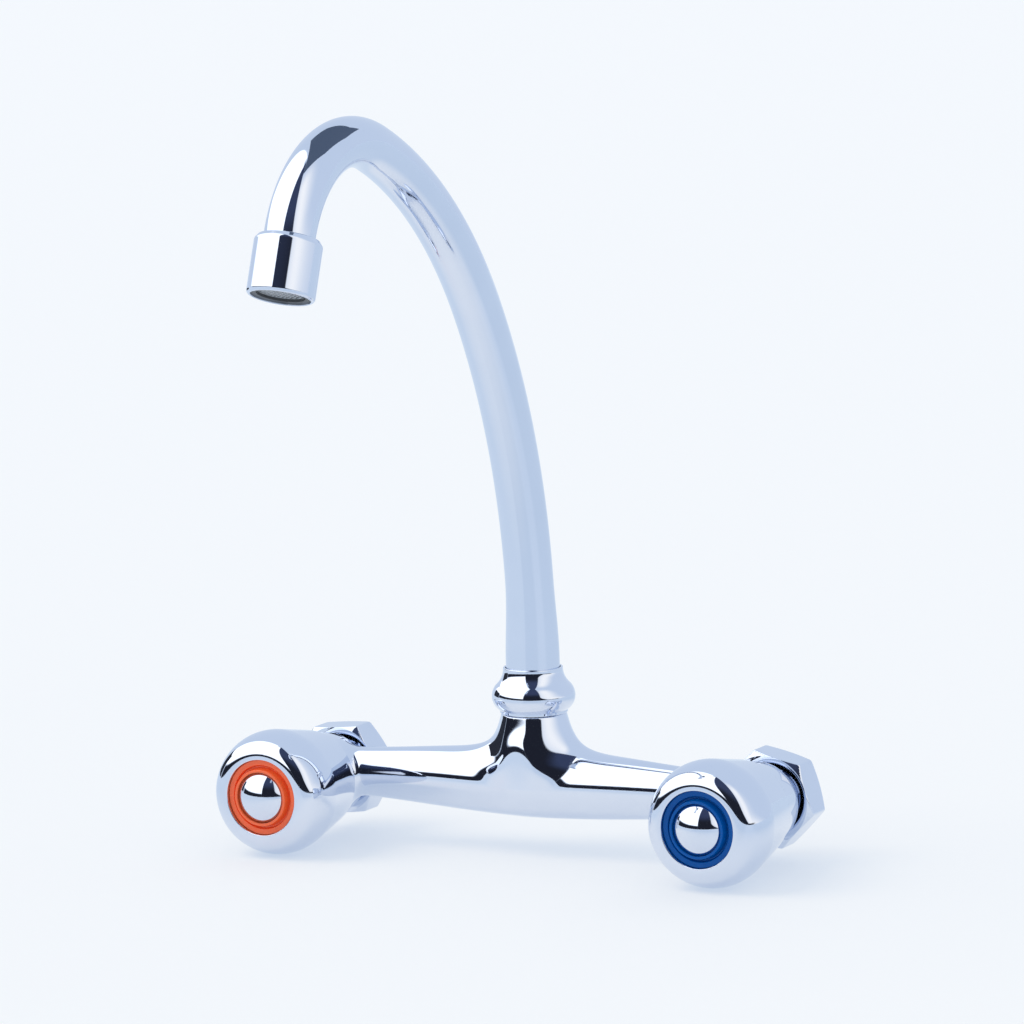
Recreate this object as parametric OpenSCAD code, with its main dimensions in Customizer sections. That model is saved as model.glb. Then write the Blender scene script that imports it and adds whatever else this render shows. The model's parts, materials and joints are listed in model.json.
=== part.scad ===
// Two-handle wall-mounted kitchen mixer with a tall swivel spout.
// The origin lies midway between the two inlets, in the plane of the union nuts' wall faces.
// +X points to the cold side, -Y away from the wall and +Z up. Sizes are in millimetres.
// Along a valve, depths are measured forward from the wall plane.

/* [Body] */
// Distance between the centres of the two inlets
inlet_spacing = 150; // [140:1:160]
// Distance from the wall plane to the axis of the spout
spout_to_wall = 19; // [18.6:0.1:19.6]
// Depth from the wall at which each valve chest starts
chest_rear = 14; // [13.6:0.1:14.4]
// Length of the tapered chest that shows behind each handle
chest_length = 13.5; // [13:0.1:14]
// Radius of the chest at its rear edge
chest_rear_r = 12.6; // [12.2:0.1:13.2]
// Radius of the chest at its front edge
chest_front_r = 15; // [14.2:0.1:15.4]
// Length of the turned collar hidden inside the handle
collar_length = 4; // [3.6:0.1:4.4]
// Radius of the turned collar hidden inside the handle
collar_r = 12.4; // [12:0.1:13]
// Height of the arms' axis above the inlet axis
arm_axis_z = 2.3; // [1.8:0.1:2.6]
// Half height of an arm where it enters the chest
arm_end_h = 7.7; // [7:0.1:8.2]
// Half height of the body under the spout
arm_mid_h = 10.9; // [10.4:0.1:11.6]
// Half depth of an arm where it enters the chest
arm_end_d = 6.3; // [5.8:0.1:6.4]
// Half depth of the body under the spout
arm_mid_d = 11; // [10.8:0.1:12]
// Distance that the arms lean forward between the spout and the chests
arm_lean = 1.6; // [1:0.1:1.8]
// Radius of the waterway through the arms
passage_r = 3.4; // [3:0.1:3.6]
// Radius of the neck under the spout nut
neck_r = 10.5; // [10:0.1:10.7]
// Height of the seam between the neck and the spout nut
neck_top = 24.4; // [23.5:0.1:26]
// Distance along the arm over which the neck flares out
flare_reach = 24; // [20:0.5:28]

/* [Valve] */
// Radius of the threaded valve chamber in the chest
chamber_r = 9.6; // [9.4:0.1:9.8]
// Radius of the hole in the valve seat
seat_r = 5.4; // [5:0.1:5.6]
// Thickness of the wall that carries the valve seat
seat_wall = 1.4; // [1.2:0.1:1.6]
// Height of the raised seat crown
crown_height = 1.2; // [1:0.1:1.4]
// Width of the raised seat crown
crown_width = 1.5; // [1.2:0.1:1.8]
// Thickness of the rubber tap washer
tap_washer_thick = 3; // [2.6:0.1:3.4]
// Radius of the rubber tap washer
tap_washer_r = 6.7; // [6.6:0.1:6.8]
// Thickness of the plate on the washer plug
plug_plate = 1.8; // [1.6:0.1:2.2]
// Wall of the cup that holds the tap washer
plug_cup_wall = 0.7; // [0.6:0.1:0.8]
// Width across the flats of the plug's hexagonal shank
plug_flats = 11; // [10.8:0.1:11.2]
// Radius of the spindle's operating screw
drive_r = 3.4; // [3:0.1:3.6]
// Movement of the plug in one turn of the spindle
drive_lead = 2; // [1.6:0.1:2.2]
// Number of handle turns from shut to full flow
handle_turns = 2.25; // [1.5:0.25:2.25]
// Length of the plug's shank above its plate
plug_shank = 11.1; // [10.8:0.1:11.4]
// Width across the flats of the bonnet's hexagon
bonnet_flats = 22; // [21.6:0.1:22.6]
// Height of the bonnet's hexagon
bonnet_hex = 5; // [4.6:0.1:5.4]
// Radius of the bonnet's smooth neck
bonnet_neck_r = 8.6; // [8.2:0.1:9]
// Wall of the bonnet's threaded barrel
barrel_wall = 1.6; // [1.4:0.1:1.7]
// Thickness of the bonnet gasket
bonnet_gasket_thick = 0.8; // [0.6:0.1:1]
// Radius of the spindle's stem
stem_r = 4; // [3.8:0.1:4.2]
// Radius of the spindle's thrust collar
thrust_r = 5.4; // [5.2:0.05:5.4]
// Thickness of the spindle's thrust collar
thrust_thick = 1.4; // [1.2:0.1:1.6]
// Thickness of the low-friction thrust washer
thrust_washer_thick = 0.6; // [0.5:0.1:0.8]
// Length of the gland round the spindle's stem
gland_length = 4; // [3.8:0.1:4.4]
// Thickness of the spindle's retaining clip
clip_thick = 0.8; // [0.6:0.1:0.9]
// Outer radius of the spindle's retaining clip
clip_r = 5.2; // [5:0.1:5.4]
// Number of teeth on the spindle's spline
spline_teeth = 20; // [16:1:24]
// Depth of the spline's teeth
spline_depth = 0.4; // [0.3:0.05:0.5]

/* [Handle] */
// Largest radius of the handle
knob_r = 19.6; // [19:0.1:20.5]
// Radius of the handle at its rear edge
knob_rear_r = 15.8; // [15.6:0.1:16.4]
// Length of the handle from its rear edge to the crest of its front rim
knob_length = 32.6; // [32.4:0.1:33.4]
// Distance from the crest of the front rim back to the largest radius
knob_round = 11.1; // [10:0.1:12]
// Radius of the crest of the front rim
crest_r = 13.3; // [13:0.1:13.8]
// Radius of the round on the crest
crest_round = 3; // [2.4:0.1:3.4]
// Wall thickness of the hollow handle
knob_wall = 1.8; // [1.5:0.1:1.9]
// Gap between the chest and the handle
handle_gap = 0.5; // [0.4:0.1:0.7]
// Outer radius of the coloured index ring
index_r = 11.85; // [11.6:0.05:11.9]
// Thickness of the flat part of the index ring
index_thick = 1.6; // [1.4:0.1:1.8]
// Depth of the index ring's flat face below the front rim
index_sink = 1.1; // [0.9:0.1:1.4]
// Height of the index ring's inner collar above its flat face
index_collar = 1.6; // [1.4:0.1:1.8]
// Radius of the domed cap
cap_r = 8; // [7.8:0.1:8.2]
// Height of the cap's straight side
cap_side = 3.6; // [3.4:0.1:3.9]
// Height of the cap's dome
cap_dome = 2.6; // [2.2:0.1:3]
// Wall thickness of the cap
cap_wall = 0.9; // [0.8:0.1:1]
// Radius of the handle's hub
hub_r = 6.2; // [5.8:0.1:6.6]
// Number of ribs between the hub and the shell
rib_count = 6; // [4:1:8]
// Thickness of each rib
rib_thick = 1.4; // [1.2:0.1:1.8]
// Radius of the handle screw's head
screw_head_r = 3.6; // [3.4:0.1:3.8]
// Height of the handle screw's head
screw_head = 2.2; // [2:0.1:2.6]
// Radius of the handle screw's shank
screw_r = 2; // [1.8:0.1:2.2]

/* [Inlet] */
// Width across the flats of the union nut
nut_flats = 27.6; // [27.4:0.1:29]
// Length of the union nut
nut_length = 11; // [10.6:0.1:11.4]
// Turn of the hot union nut, in degrees
hot_nut_turn = 4; // [-30:1:30]
// Turn of the cold union nut, in degrees
cold_nut_turn = -14; // [-30:1:30]
// Radius of the union nut's thread
nut_thread_r = 12.1; // [11.9:0.05:12.3]
// Length of the union nut's thread
nut_thread = 5.4; // [5.2:0.1:5.6]
// Radius of the relief behind the thread
nut_relief_r = 12.5; // [12.4:0.1:12.7]
// Thickness of the union nut's front wall
nut_front_wall = 2.4; // [2:0.1:2.6]
// Radius of the tailpiece's neck
tail_neck_r = 9; // [8.8:0.1:9.2]
// Radius of the tailpiece's thread in the chest
tail_thread_r = 8.3; // [8.1:0.1:8.4]
// Length of the tailpiece's thread in the chest
tail_thread = 4.3; // [4.2:0.1:4.4]
// Radius of the waterway through the tailpiece
tail_bore_r = 5.8; // [5.6:0.1:6]
// Thickness of the tailpiece's flange
tail_flange = 1.5; // [1.4:0.1:1.7]
// Width across the flats of the tailpiece's key socket
tail_key = 12; // [12:0.1:12.4]
// Thickness of the inlet gasket
gasket_thick = 1.4; // [1.2:0.1:1.4]
// Wall thickness of the inlet strainer
strainer_wall = 0.5; // [0.4:0.1:0.6]
// Depth of the strainer's basket
strainer_depth = 5; // [4:0.1:5.4]

/* [Spout] */
// Outer radius of the spout tube
tube_r = 7.5; // [7.2:0.1:7.6]
// Wall thickness of the spout tube
tube_wall = 1; // [0.8:0.1:1.2]
// Outer radius of the widened root of the tube
root_r = 8.4; // [8.3:0.05:8.5]
// Height at which the spout starts to bend
bend_start = 46; // [44:0.5:60]
// Radius of the first, slow bend
bend_r1 = 203; // [180:1:240]
// Angle of the first bend
bend_a1 = 32.5; // [30:0.5:35]
// Radius of the second bend
bend_r2 = 137; // [120:1:150]
// Angle of the second bend
bend_a2 = 35.2; // [32:0.2:37]
// Radius of the tight bend at the top
bend_r3 = 38; // [34:0.5:44]
// Angle of the tight bend
bend_a3 = 91.4; // [86:0.2:94]
// Length of the taper from the root to the plain tube
root_taper = 27; // [20:1:34]
// Widest radius of the spout nut
spout_nut_r = 13; // [12.6:0.1:13.6]
// Radius of the spout nut's bulging side
bulge_r = 5.2; // [5:0.1:5.6]
// Height of the widest place above the nut's lower edge
bulge_height = 5.2; // [5:0.1:5.6]
// Outer radius of the spout nut's lower edge
nut_lip_r = 10.6; // [10.4:0.1:10.8]
// Outer radius of the spout nut's mouth
mouth_r = 9.3; // [9.2:0.1:9.5]
// Radius of the body's threaded stub inside the spout nut
stub_r = 9.3; // [9.1:0.1:9.4]
// Height of the threaded stub
stub_height = 5.8; // [5.4:0.1:6]
// Radius of the bore that the spout turns in
socket_r = 7.4; // [7.2:0.05:7.5]
// Depth of the bore that the spout turns in
socket_depth = 17; // [15:0.5:18]
// Thickness of the washer under the spout's flange
spout_washer_thick = 0.8; // [0.6:0.1:1]
// Thickness of the spout tailpiece's flange
spout_flange = 1.7; // [1.5:0.1:1.8]
// Width that the flange stands out past the tube's root
flange_lap = 1.1; // [1:0.05:1.1]
// Thickness of the split retaining ring
ring_thick = 1.4; // [1.2:0.1:1.5]
// Radius of the waterway through the spout tailpiece
spout_bore_r = 5.3; // [5:0.1:5.5]
// Thickness of each O-ring's cord
o_ring_cord = 1; // [0.9:0.05:1.1]

/* [Aerator] */
// Outer radius of the aerator housing
housing_r = 10; // [9.8:0.1:10.4]
// Length of the aerator housing
housing_length = 17.7; // [17.5:0.1:19]
// Depth of the tube's seat in the housing
tube_seat = 6; // [5:0.1:6.2]
// Radius of the housing's threaded mouth
mouth_thread_r = 8.75; // [8.6:0.05:8.8]
// Thickness of the ledge between the tube and the aerator
ledge_thick = 1.2; // [1:0.1:1.4]
// Thickness of the aerator washer
aerator_washer_thick = 1.5; // [1.2:0.1:1.7]
// Wall thickness of the aerator body
aerator_wall = 0.8; // [0.7:0.1:0.9]
// Depth of the aerator body inside the housing's rim
aerator_sink = 0.7; // [0.5:0.1:0.9]
// Thickness of the insert that mixes air into the water
insert_thick = 3.8; // [3.4:0.1:4]
// Number of jets through the insert
jet_count = 12; // [8:1:14]
// Radius of each jet
jet_r = 0.8; // [0.6:0.1:0.9]
// Spacing of the screen's square holes
mesh_pitch = 1.5; // [1.4:0.1:1.8]
// Width of the screen's wires
mesh_wire = 0.5; // [0.4:0.1:0.6]
// Thickness of each screen
mesh_thick = 0.4; // [0.3:0.1:0.5]

/* [Fits] */
// Radial clearance of a turning or sliding fit
running_fit = 0.05; // [0.04:0.01:0.08]
// End clearance of a turning part
end_gap = 0.1; // [0.08:0.01:0.15]
// Radial clearance between screwed or pushed-in pieces of one body
seat_fit = 0.02; // [0.02:0.01:0.04]
// Distance that a hole is run past a face to cut through it
cut = 1; // [0.5:0.1:1.2]

/* [Hidden] */
$fn = 64;
hot = -1;
cold = 1;

// Depths along a valve, from the wall plane forward
chest_front = chest_rear + chest_length;
collar_front = chest_front + collar_length;
tail_bore_end = chest_rear + tail_thread + end_gap;
chamber_floor = tail_bore_end + seat_wall;
crown_top = chamber_floor + crown_height;
passage_depth = chamber_floor + 1.4;
tap_washer_rear = crown_top + end_gap;
plate_rear = tap_washer_rear + tap_washer_thick;
plate_front = plate_rear + plug_plate;
plug_top = plate_front + plug_shank;
lift = drive_lead * handle_turns;
hex_rear = collar_front + bonnet_gasket_thick;
hex_front = hex_rear + bonnet_hex;
guide_rear = hex_rear - 0.8;
thrust_rear = plug_top + lift + 0.5;
thrust_front = thrust_rear + thrust_thick;
gland_rear = thrust_front + end_gap + thrust_washer_thick;
gland_front = gland_rear + gland_length;
clip_rear = gland_front + end_gap;
clip_front = clip_rear + clip_thick;
plug_cup_r = tap_washer_r + seat_fit + plug_cup_wall;
plug_bore_rear = plate_front + 1.6;
drive_rear = plug_bore_rear + lift + 0.4;
washer_screw_r = 1.5;

// Depths and radii of the handle
knob_rear = chest_front + handle_gap;
knob_front = knob_rear + knob_length;
knob_wide = knob_front - knob_round;
index_face = knob_front - index_sink;
recess_floor = index_face - index_thick;
spline_rear = clip_front + 0.7;
spline_front = recess_floor - 1.3;
web_rear = recess_floor - 2.9;

// Heights along the spout axis, from the inlet axis up
nut_base = neck_top + 0.2;
stub_top = neck_top + stub_height;
socket_floor = stub_top - socket_depth;
flange_low = stub_top + spout_washer_thick + end_gap;
flange_high = flange_low + spout_flange;
flange_r = root_r + flange_lap;
ring_low = flange_high + end_gap;
ring_high = ring_low + ring_thick;
root_bore_r = root_r - tube_wall;
root_seat = 7;
well_r = 6;
well_floor = -3.5;

// Depths inside the aerator housing, from its top
ledge_low = tube_seat + ledge_thick;
aerator_top = ledge_low + aerator_washer_thick;
aerator_base = housing_length - aerator_sink;
aerator_r = mouth_thread_r - seat_fit;
aerator_bore_r = aerator_r - aerator_wall;
aerator_lip = 0.9;
aerator_lip_r = aerator_bore_r - 0.8;

// Points on a circle round [x, y], from angle a to angle b
function arc(x, y, r, a, b, steps = 10) = [
    for (i = [0:steps]) [x + r * cos(a + (b - a) * i / steps), y + r * sin(a + (b - a) * i / steps)]
];

// Triangles between ring i and the next one, where the last ring leads back to the first
function band_faces(i, rings, sides) = [
    for (j = [0:sides - 1])
        let (k = (j + 1) % sides, a = i * sides, b = (i + 1) % rings * sides)
            each [[a + j, b + j, b + k], [a + j, b + k, a + k]]
];

// Closed skin over rings of points, with a flat cap at each end
function skin_faces(rings, sides) = concat(
    [[for (j = [0:sides - 1]) j]],
    [[for (j = [sides - 1:-1:0]) (rings - 1) * sides + j]],
    [for (i = [0:rings - 2]) each band_faces(i, rings, sides)]
);

// Closed skin of a pipe, whose rings run out along the outside and back along the bore
function loop_faces(rings, sides) = [for (i = [0:rings - 1]) each band_faces(i, rings, sides)];

// Places a child that is drawn along +Z from the wall on one valve's axis
module at_valve(side) {
    translate([side * inlet_spacing / 2, 0, 0]) rotate([90, 0, 0]) children();
}

module at_spout() {
    translate([0, -spout_to_wall, 0]) children();
}

module ring(outer, inner, low, high) {
    difference() {
        translate([0, 0, low]) cylinder(h = high - low, r = outer);
        translate([0, 0, low - cut]) cylinder(h = high - low + 2 * cut, r = inner);
    }
}

module hexagon(flats, low, high) {
    translate([0, 0, low]) cylinder(h = high - low, r = flats / sqrt(3), $fn = 6);
}

module o_ring(outer, height) {
    translate([0, 0, height]) rotate_extrude() translate([outer - o_ring_cord / 2, 0]) circle(
        r = o_ring_cord / 2, $fn = 24
    );
}

// The body: two arms that swell towards the middle, a flared neck and a chest at each end

arm_run = inlet_spacing / 2 - 14;
arm_end = inlet_spacing / 2 - chamber_r + 0.6;
arm_rings = 34;
arm_sides = 32;

function arm_share(x) = min(1, abs(x) / arm_run);
function arm_h(x) = arm_end_h + (arm_mid_h - arm_end_h) * pow(cos(90 * arm_share(x)), 1.4);
function arm_d(x) = arm_end_d + (arm_mid_d - arm_end_d) * pow(cos(90 * arm_share(x)), 2.2);
function arm_y(x) = -spout_to_wall - arm_lean * pow(arm_share(x), 2);
function arm_top(x, y) =
    arm_axis_z + arm_h(x) * sqrt(max(0, 1 - pow((y - spout_to_wall - arm_y(x)) / arm_d(x), 2)));

module arms() {
    points = [
        for (i = [0:arm_rings])
            let (x = -arm_end + 2 * arm_end * i / arm_rings)
                for (j = [0:arm_sides - 1])
                    let (a = 360 * j / arm_sides)
                        [x, arm_y(x) + arm_d(x) * cos(a), arm_axis_z + arm_h(x) * sin(a)]
    ];
    polyhedron(points = points, faces = skin_faces(arm_rings + 1, arm_sides), convexity = 4);
}

neck_sides = 48;
neck_rings = 9;
flare_sink = 0.2;
flare_side = arm_mid_d - 0.25;

function flare_end(a) = 1 / sqrt(pow(cos(a) / flare_reach, 2) + pow(sin(a) / flare_side, 2));

// One point of the flare: a curve that leaves the neck upright and lands along the arm's surface
function flare_point(a, t) =
    let (
        end = flare_end(a),
        land = arm_top(end * cos(a), end * sin(a)),
        near = arm_top(0.98 * end * cos(a), 0.98 * end * sin(a)),
        knee = min(neck_top, land + (near - land) / (0.02 * end) * (end - neck_r)),
        r = (1 - t * t) * neck_r + t * t * end,
        z = (1 - t) * (1 - t) * neck_top + 2 * t * (1 - t) * knee + t * t * (land - flare_sink)
    )
        [r * cos(a), r * sin(a), z];

module neck_flare() {
    skirt = [
        for (i = [neck_rings:-1:0])
            for (j = [0:neck_sides - 1])
                flare_point(360 * j / neck_sides, i / neck_rings)
    ];
    foot = [
        for (j = [0:neck_sides - 1])
            let (a = 360 * j / neck_sides, r = 0.85 * flare_end(a))
                [r * cos(a), r * sin(a), arm_axis_z]
    ];
    at_spout() polyhedron(
        points = concat(foot, skirt), faces = skin_faces(neck_rings + 2, neck_sides), convexity = 4
    );
}

module chest() {
    edge = 1;
    slope = atan((chest_front_r - chest_rear_r) / chest_length);
    profile = concat(
        [[0, chest_rear]],
        arc(chest_rear_r - edge, chest_rear + edge, edge, -90, -slope, 5),
        [
            [chest_front_r, chest_front - 0.6], [chest_front_r - 0.4, chest_front],
            [collar_r, chest_front], [collar_r, collar_front - 0.4],
            [collar_r - 0.4, collar_front], [0, collar_front]
        ]
    );
    rotate_extrude() polygon(profile);
}

module chest_bores() {
    translate([0, 0, chest_rear - cut]) cylinder(h = tail_bore_end - chest_rear + cut, r = tail_thread_r + seat_fit);
    translate([0, 0, chest_rear]) cylinder(h = collar_front - chest_rear, r = seat_r);
    difference() {
        translate([0, 0, chamber_floor]) cylinder(h = collar_front - chamber_floor + cut, r = chamber_r);
        translate([0, 0, chamber_floor]) cylinder(
            h = crown_height, r1 = seat_r + crown_width + 0.3, r2 = seat_r + crown_width - 0.3
        );
    }
}

module passage() {
    reach = inlet_spacing / 2 - chamber_r + 0.5;
    translate([-reach, -passage_depth, 0.5]) rotate([0, 90, 0]) cylinder(h = 2 * reach, r = passage_r);
}

module body() {
    color("silver") difference() {
        union() {
            arms();
            neck_flare();
            at_valve(hot) chest();
            at_valve(cold) chest();
            at_spout() translate([0, 0, neck_top - 2]) cylinder(h = stub_height + 2, r = stub_r);
        }
        at_valve(hot) chest_bores();
        at_valve(cold) chest_bores();
        at_spout() translate([0, 0, socket_floor]) cylinder(h = socket_depth + cut, r = socket_r);
        at_spout() translate([0, 0, well_floor]) cylinder(h = socket_floor - well_floor + cut, r = well_r);
        passage();
    }
}

// The spout and what holds it to the body

module after_bend(radius, angle) {
    translate([0, -radius + radius * cos(angle), radius * sin(angle)]) rotate([angle, 0, 0]) children();
}

module at_outlet() {
    at_spout() translate([0, 0, bend_start]) after_bend(bend_r1, bend_a1) after_bend(
        bend_r2, bend_a2
    ) after_bend(bend_r3, bend_a3) children();
}

tube_sides = 28;
root_top = flange_high + root_seat;

// A station on the spout's centreline: [reach forward, height, lean from upright, length from the root]
function straight_on(p, d) = [p[0] + d * sin(p[2]), p[1] + d * cos(p[2]), p[2], p[3] + d];
function bent_on(p, radius, angle) = [
    p[0] + radius * (cos(p[2]) - cos(p[2] + angle)),
    p[1] + radius * (sin(p[2] + angle) - sin(p[2])),
    p[2] + angle,
    p[3] + radius * angle * PI / 180
];
function bend_stations(p, radius, angle, steps) = [
    for (i = [1:steps]) bent_on(p, radius, angle * i / steps)
];

bend_1 = [0, bend_start, 0, bend_start - root_top];
bend_2 = bent_on(bend_1, bend_r1, bend_a1);
bend_3 = bent_on(bend_2, bend_r2, bend_a2);
tube_end = bent_on(bend_3, bend_r3, bend_a3);

// The tube is widest over its root and narrows smoothly to its plain size
function tube_outer(length) =
    let (share = min(1, max(0, length / root_taper)))
        tube_r + (root_r - tube_r) * (1 + cos(180 * share)) / 2;

function tube_ring(p, r) = [
    for (j = [0:tube_sides - 1])
        let (a = 360 * j / tube_sides)
            [r * cos(a), r * sin(a) * cos(p[2]) - p[0], r * sin(a) * sin(p[2]) + p[1]]
];

module spout_tube() {
    stations = concat(
        [[0, flange_high, 0, -root_seat], [0, root_top, 0, 0]],
        [[0, (root_top + bend_start) / 2, 0, (bend_start - root_top) / 2], bend_1],
        bend_stations(bend_1, bend_r1, bend_a1, 14),
        bend_stations(bend_2, bend_r2, bend_a2, 10),
        bend_stations(bend_3, bend_r3, bend_a3, 20),
        [straight_on(tube_end, tube_seat)]
    );
    rings = len(stations);
    out = [for (p = stations) each tube_ring(p, tube_outer(p[3]))];
    back = [
        for (i = [rings - 1:-1:0])
            each tube_ring(stations[i], (tube_outer(stations[i][3]) - tube_wall) / cos(180 / tube_sides))
    ];
    color("silver") at_spout() polyhedron(
        points = concat(out, back), faces = loop_faces(2 * rings, tube_sides), convexity = 8
    );
}

module spout_tailpiece() {
    groove_r = socket_r - running_fit - o_ring_cord;
    color("gold") at_spout() difference() {
        union() {
            translate([0, 0, socket_floor + 1]) cylinder(
                h = flange_low - socket_floor - 1, r = socket_r - running_fit
            );
            translate([0, 0, flange_low]) cylinder(h = spout_flange, r = flange_r);
            translate([0, 0, flange_high]) cylinder(h = root_seat - 0.5, r = root_bore_r - seat_fit);
        }
        translate([0, 0, socket_floor]) cylinder(h = socket_depth + 20, r = spout_bore_r);
        for (level = [0.3, 0.65]) {
            ring(
                socket_r + cut, groove_r, socket_floor + socket_depth * level - 0.65,
                socket_floor + socket_depth * level + 0.65
            );
        }
    }
}

module spout_o_rings() {
    color("dimgray") at_spout() for (level = [0.3, 0.65]) {
        o_ring(socket_r - running_fit, socket_floor + socket_depth * level);
    }
}

module spout_washer() {
    color("white") at_spout() ring(stub_r - 0.1, socket_r + 0.1, stub_top, stub_top + spout_washer_thick);
}

module spout_retaining_ring() {
    split = 1.2;
    color("white") at_spout() difference() {
        ring(flange_r, root_r + 0.1, ring_low, ring_high);
        translate([0, -split / 2, ring_low - cut]) cube([flange_r + cut, split, ring_thick + 2 * cut]);
    }
}

module spout_nut() {
    centre_r = spout_nut_r - bulge_r;
    centre_z = nut_base + bulge_height;
    low = acos((nut_lip_r - centre_r) / bulge_r);
    high = 50;
    hollow_r = (centre_r + bulge_r * cos(high) - mouth_r) / (1 - cos(high));
    hollow_x = mouth_r + hollow_r;
    hollow_z = centre_z + (bulge_r + hollow_r) * sin(high);
    profile = concat(
        [[0, nut_base], [nut_lip_r - 0.3, nut_base], [nut_lip_r, nut_base + 0.3]],
        arc(centre_r, centre_z, bulge_r, -low, high, 14),
        arc(hollow_x, hollow_z, hollow_r, 180 + high, 180, 8),
        [[0, hollow_z]]
    );
    color("silver") at_spout() difference() {
        rotate_extrude() polygon(profile);
        translate([0, 0, nut_base - cut]) cylinder(h = ring_high - nut_base + cut, r = stub_r + seat_fit);
        translate([0, 0, stub_top]) cylinder(h = ring_high + seat_fit - stub_top, r = flange_r + 0.15);
        translate([0, 0, ring_high - cut]) cylinder(h = hollow_z - ring_high + 2 * cut, r = root_r + 0.2);
    }
}

// The aerator at the spout's tip, drawn along the flow from the top of its housing

module aerator_housing() {
    shoulder = 1.6;
    shoulder_angle = 70;
    rim = 1.2;
    rim_angle = 80;
    profile = concat(
        [[0, 0], [tube_r + 0.6, 0]],
        arc(housing_r - shoulder, shoulder, shoulder, -shoulder_angle, 0, 6),
        arc(housing_r - rim, housing_length - rim, rim, 0, rim_angle, 6),
        [[0, housing_length]]
    );
    color("silver") at_outlet() difference() {
        rotate_extrude() polygon(profile);
        translate([0, 0, -cut]) cylinder(h = tube_seat + cut, r = tube_r + seat_fit);
        translate([0, 0, -cut]) cylinder(h = housing_length, r = tube_r - tube_wall);
        translate([0, 0, ledge_low]) cylinder(h = housing_length - ledge_low + cut, r = mouth_thread_r);
    }
}

module aerator_washer() {
    color("dimgray") at_outlet() ring(aerator_r, tube_r - tube_wall, ledge_low, aerator_top);
}

module aerator_body() {
    color("gray") at_outlet() difference() {
        translate([0, 0, aerator_top]) cylinder(h = aerator_base - aerator_top, r = aerator_r);
        translate([0, 0, aerator_top - cut]) cylinder(
            h = aerator_base - aerator_lip - aerator_top + cut, r = aerator_bore_r
        );
        translate([0, 0, aerator_top]) cylinder(h = aerator_base - aerator_top + cut, r = aerator_lip_r);
    }
}

module aerator_insert() {
    r = aerator_bore_r - seat_fit;
    color("white") at_outlet() difference() {
        union() {
            translate([0, 0, aerator_top]) cylinder(h = 1.4, r = r);
            ring(r, r - 1, aerator_top + 1, aerator_top + insert_thick);
            translate([0, 0, aerator_top + 1]) cylinder(h = insert_thick - 1.6, r1 = 3.6, r2 = 1.6);
        }
        for (i = [0:jet_count - 1]) {
            rotate([0, 0, 360 * i / jet_count]) translate([5.2, 0, aerator_top - cut]) cylinder(
                h = insert_thick, r = jet_r, $fn = 24
            );
        }
    }
}

module screen(low) {
    r = aerator_bore_r - seat_fit;
    hole = mesh_pitch - mesh_wire;
    steps = floor((r - 1) / mesh_pitch);
    difference() {
        translate([0, 0, low]) cylinder(h = mesh_thick, r = r);
        for (i = [-steps:steps]) {
            for (j = [-steps:steps]) {
                if (norm([i, j]) * mesh_pitch + hole * 0.71 < r - 0.6) {
                    translate([i * mesh_pitch - hole / 2, j * mesh_pitch - hole / 2, low - cut]) cube(
                        [hole, hole, mesh_thick + 2 * cut]
                    );
                }
            }
        }
    }
}

module aerator_screens() {
    color("lightgray") at_outlet() {
        screen(aerator_top + insert_thick);
        screen(aerator_base - aerator_lip - mesh_thick);
    }
}

// The valve in each chest

module bonnet(side) {
    guide_flats = plug_flats + 2 * running_fit;
    barrel_r = chamber_r - seat_fit;
    barrel_rear = plate_rear + 1.4;
    color("goldenrod") at_valve(side) difference() {
        union() {
            translate([0, 0, barrel_rear]) cylinder(h = hex_rear - barrel_rear, r = barrel_r);
            intersection() {
                hexagon(bonnet_flats, hex_rear, hex_front);
                translate([0, 0, hex_rear]) cylinder(
                    h = bonnet_hex, r1 = bonnet_flats / 2 + bonnet_hex, r2 = bonnet_flats / 2 + 0.3
                );
            }
            translate([0, 0, hex_rear]) cylinder(h = gland_front - hex_rear, r = bonnet_neck_r);
        }
        translate([0, 0, barrel_rear - cut]) cylinder(
            h = guide_rear - barrel_rear + cut, r = barrel_r - barrel_wall
        );
        hexagon(guide_flats, guide_rear - 0.01, thrust_rear - 0.3);
        translate([0, 0, thrust_rear - 0.31]) cylinder(
            h = gland_rear - thrust_rear + 0.31, r = thrust_r + running_fit
        );
        translate([0, 0, gland_rear - cut]) cylinder(h = gland_length + 2 * cut, r = stem_r + running_fit);
    }
}

module bonnet_gasket(side) {
    color("firebrick") at_valve(side) ring(collar_r - 0.3, chamber_r + 0.1, collar_front, hex_rear);
}

module washer_plug(side) {
    color("gold") at_valve(side) difference() {
        union() {
            translate([0, 0, plate_rear - 1.2]) cylinder(h = plug_plate + 1.2, r = plug_cup_r);
            hexagon(plug_flats, plate_front - 0.01, plug_top);
        }
        translate([0, 0, plate_rear - 1.2 - cut]) cylinder(h = 1.2 + cut, r = tap_washer_r + seat_fit);
        translate([0, 0, plug_bore_rear]) cylinder(
            h = plug_top - plug_bore_rear + cut, r = drive_r + running_fit
        );
        translate([0, 0, plate_rear - cut]) cylinder(
            h = plug_bore_rear - plate_rear - 0.6 + cut, r = washer_screw_r + seat_fit
        );
    }
}

module tap_washer(side) {
    color("dimgray") at_valve(side) ring(tap_washer_r, washer_screw_r + seat_fit, tap_washer_rear, plate_rear);
}

module washer_screw(side) {
    head = 1.3;
    color("silver") at_valve(side) difference() {
        union() {
            translate([0, 0, tap_washer_rear - head]) cylinder(h = head, r = 2.7);
            translate([0, 0, tap_washer_rear - 0.01]) cylinder(
                h = plug_bore_rear - tap_washer_rear - 0.8, r = washer_screw_r
            );
        }
        translate([-4, -0.35, tap_washer_rear - head - cut]) cube([8, 0.7, 0.6 + cut]);
    }
}

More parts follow.
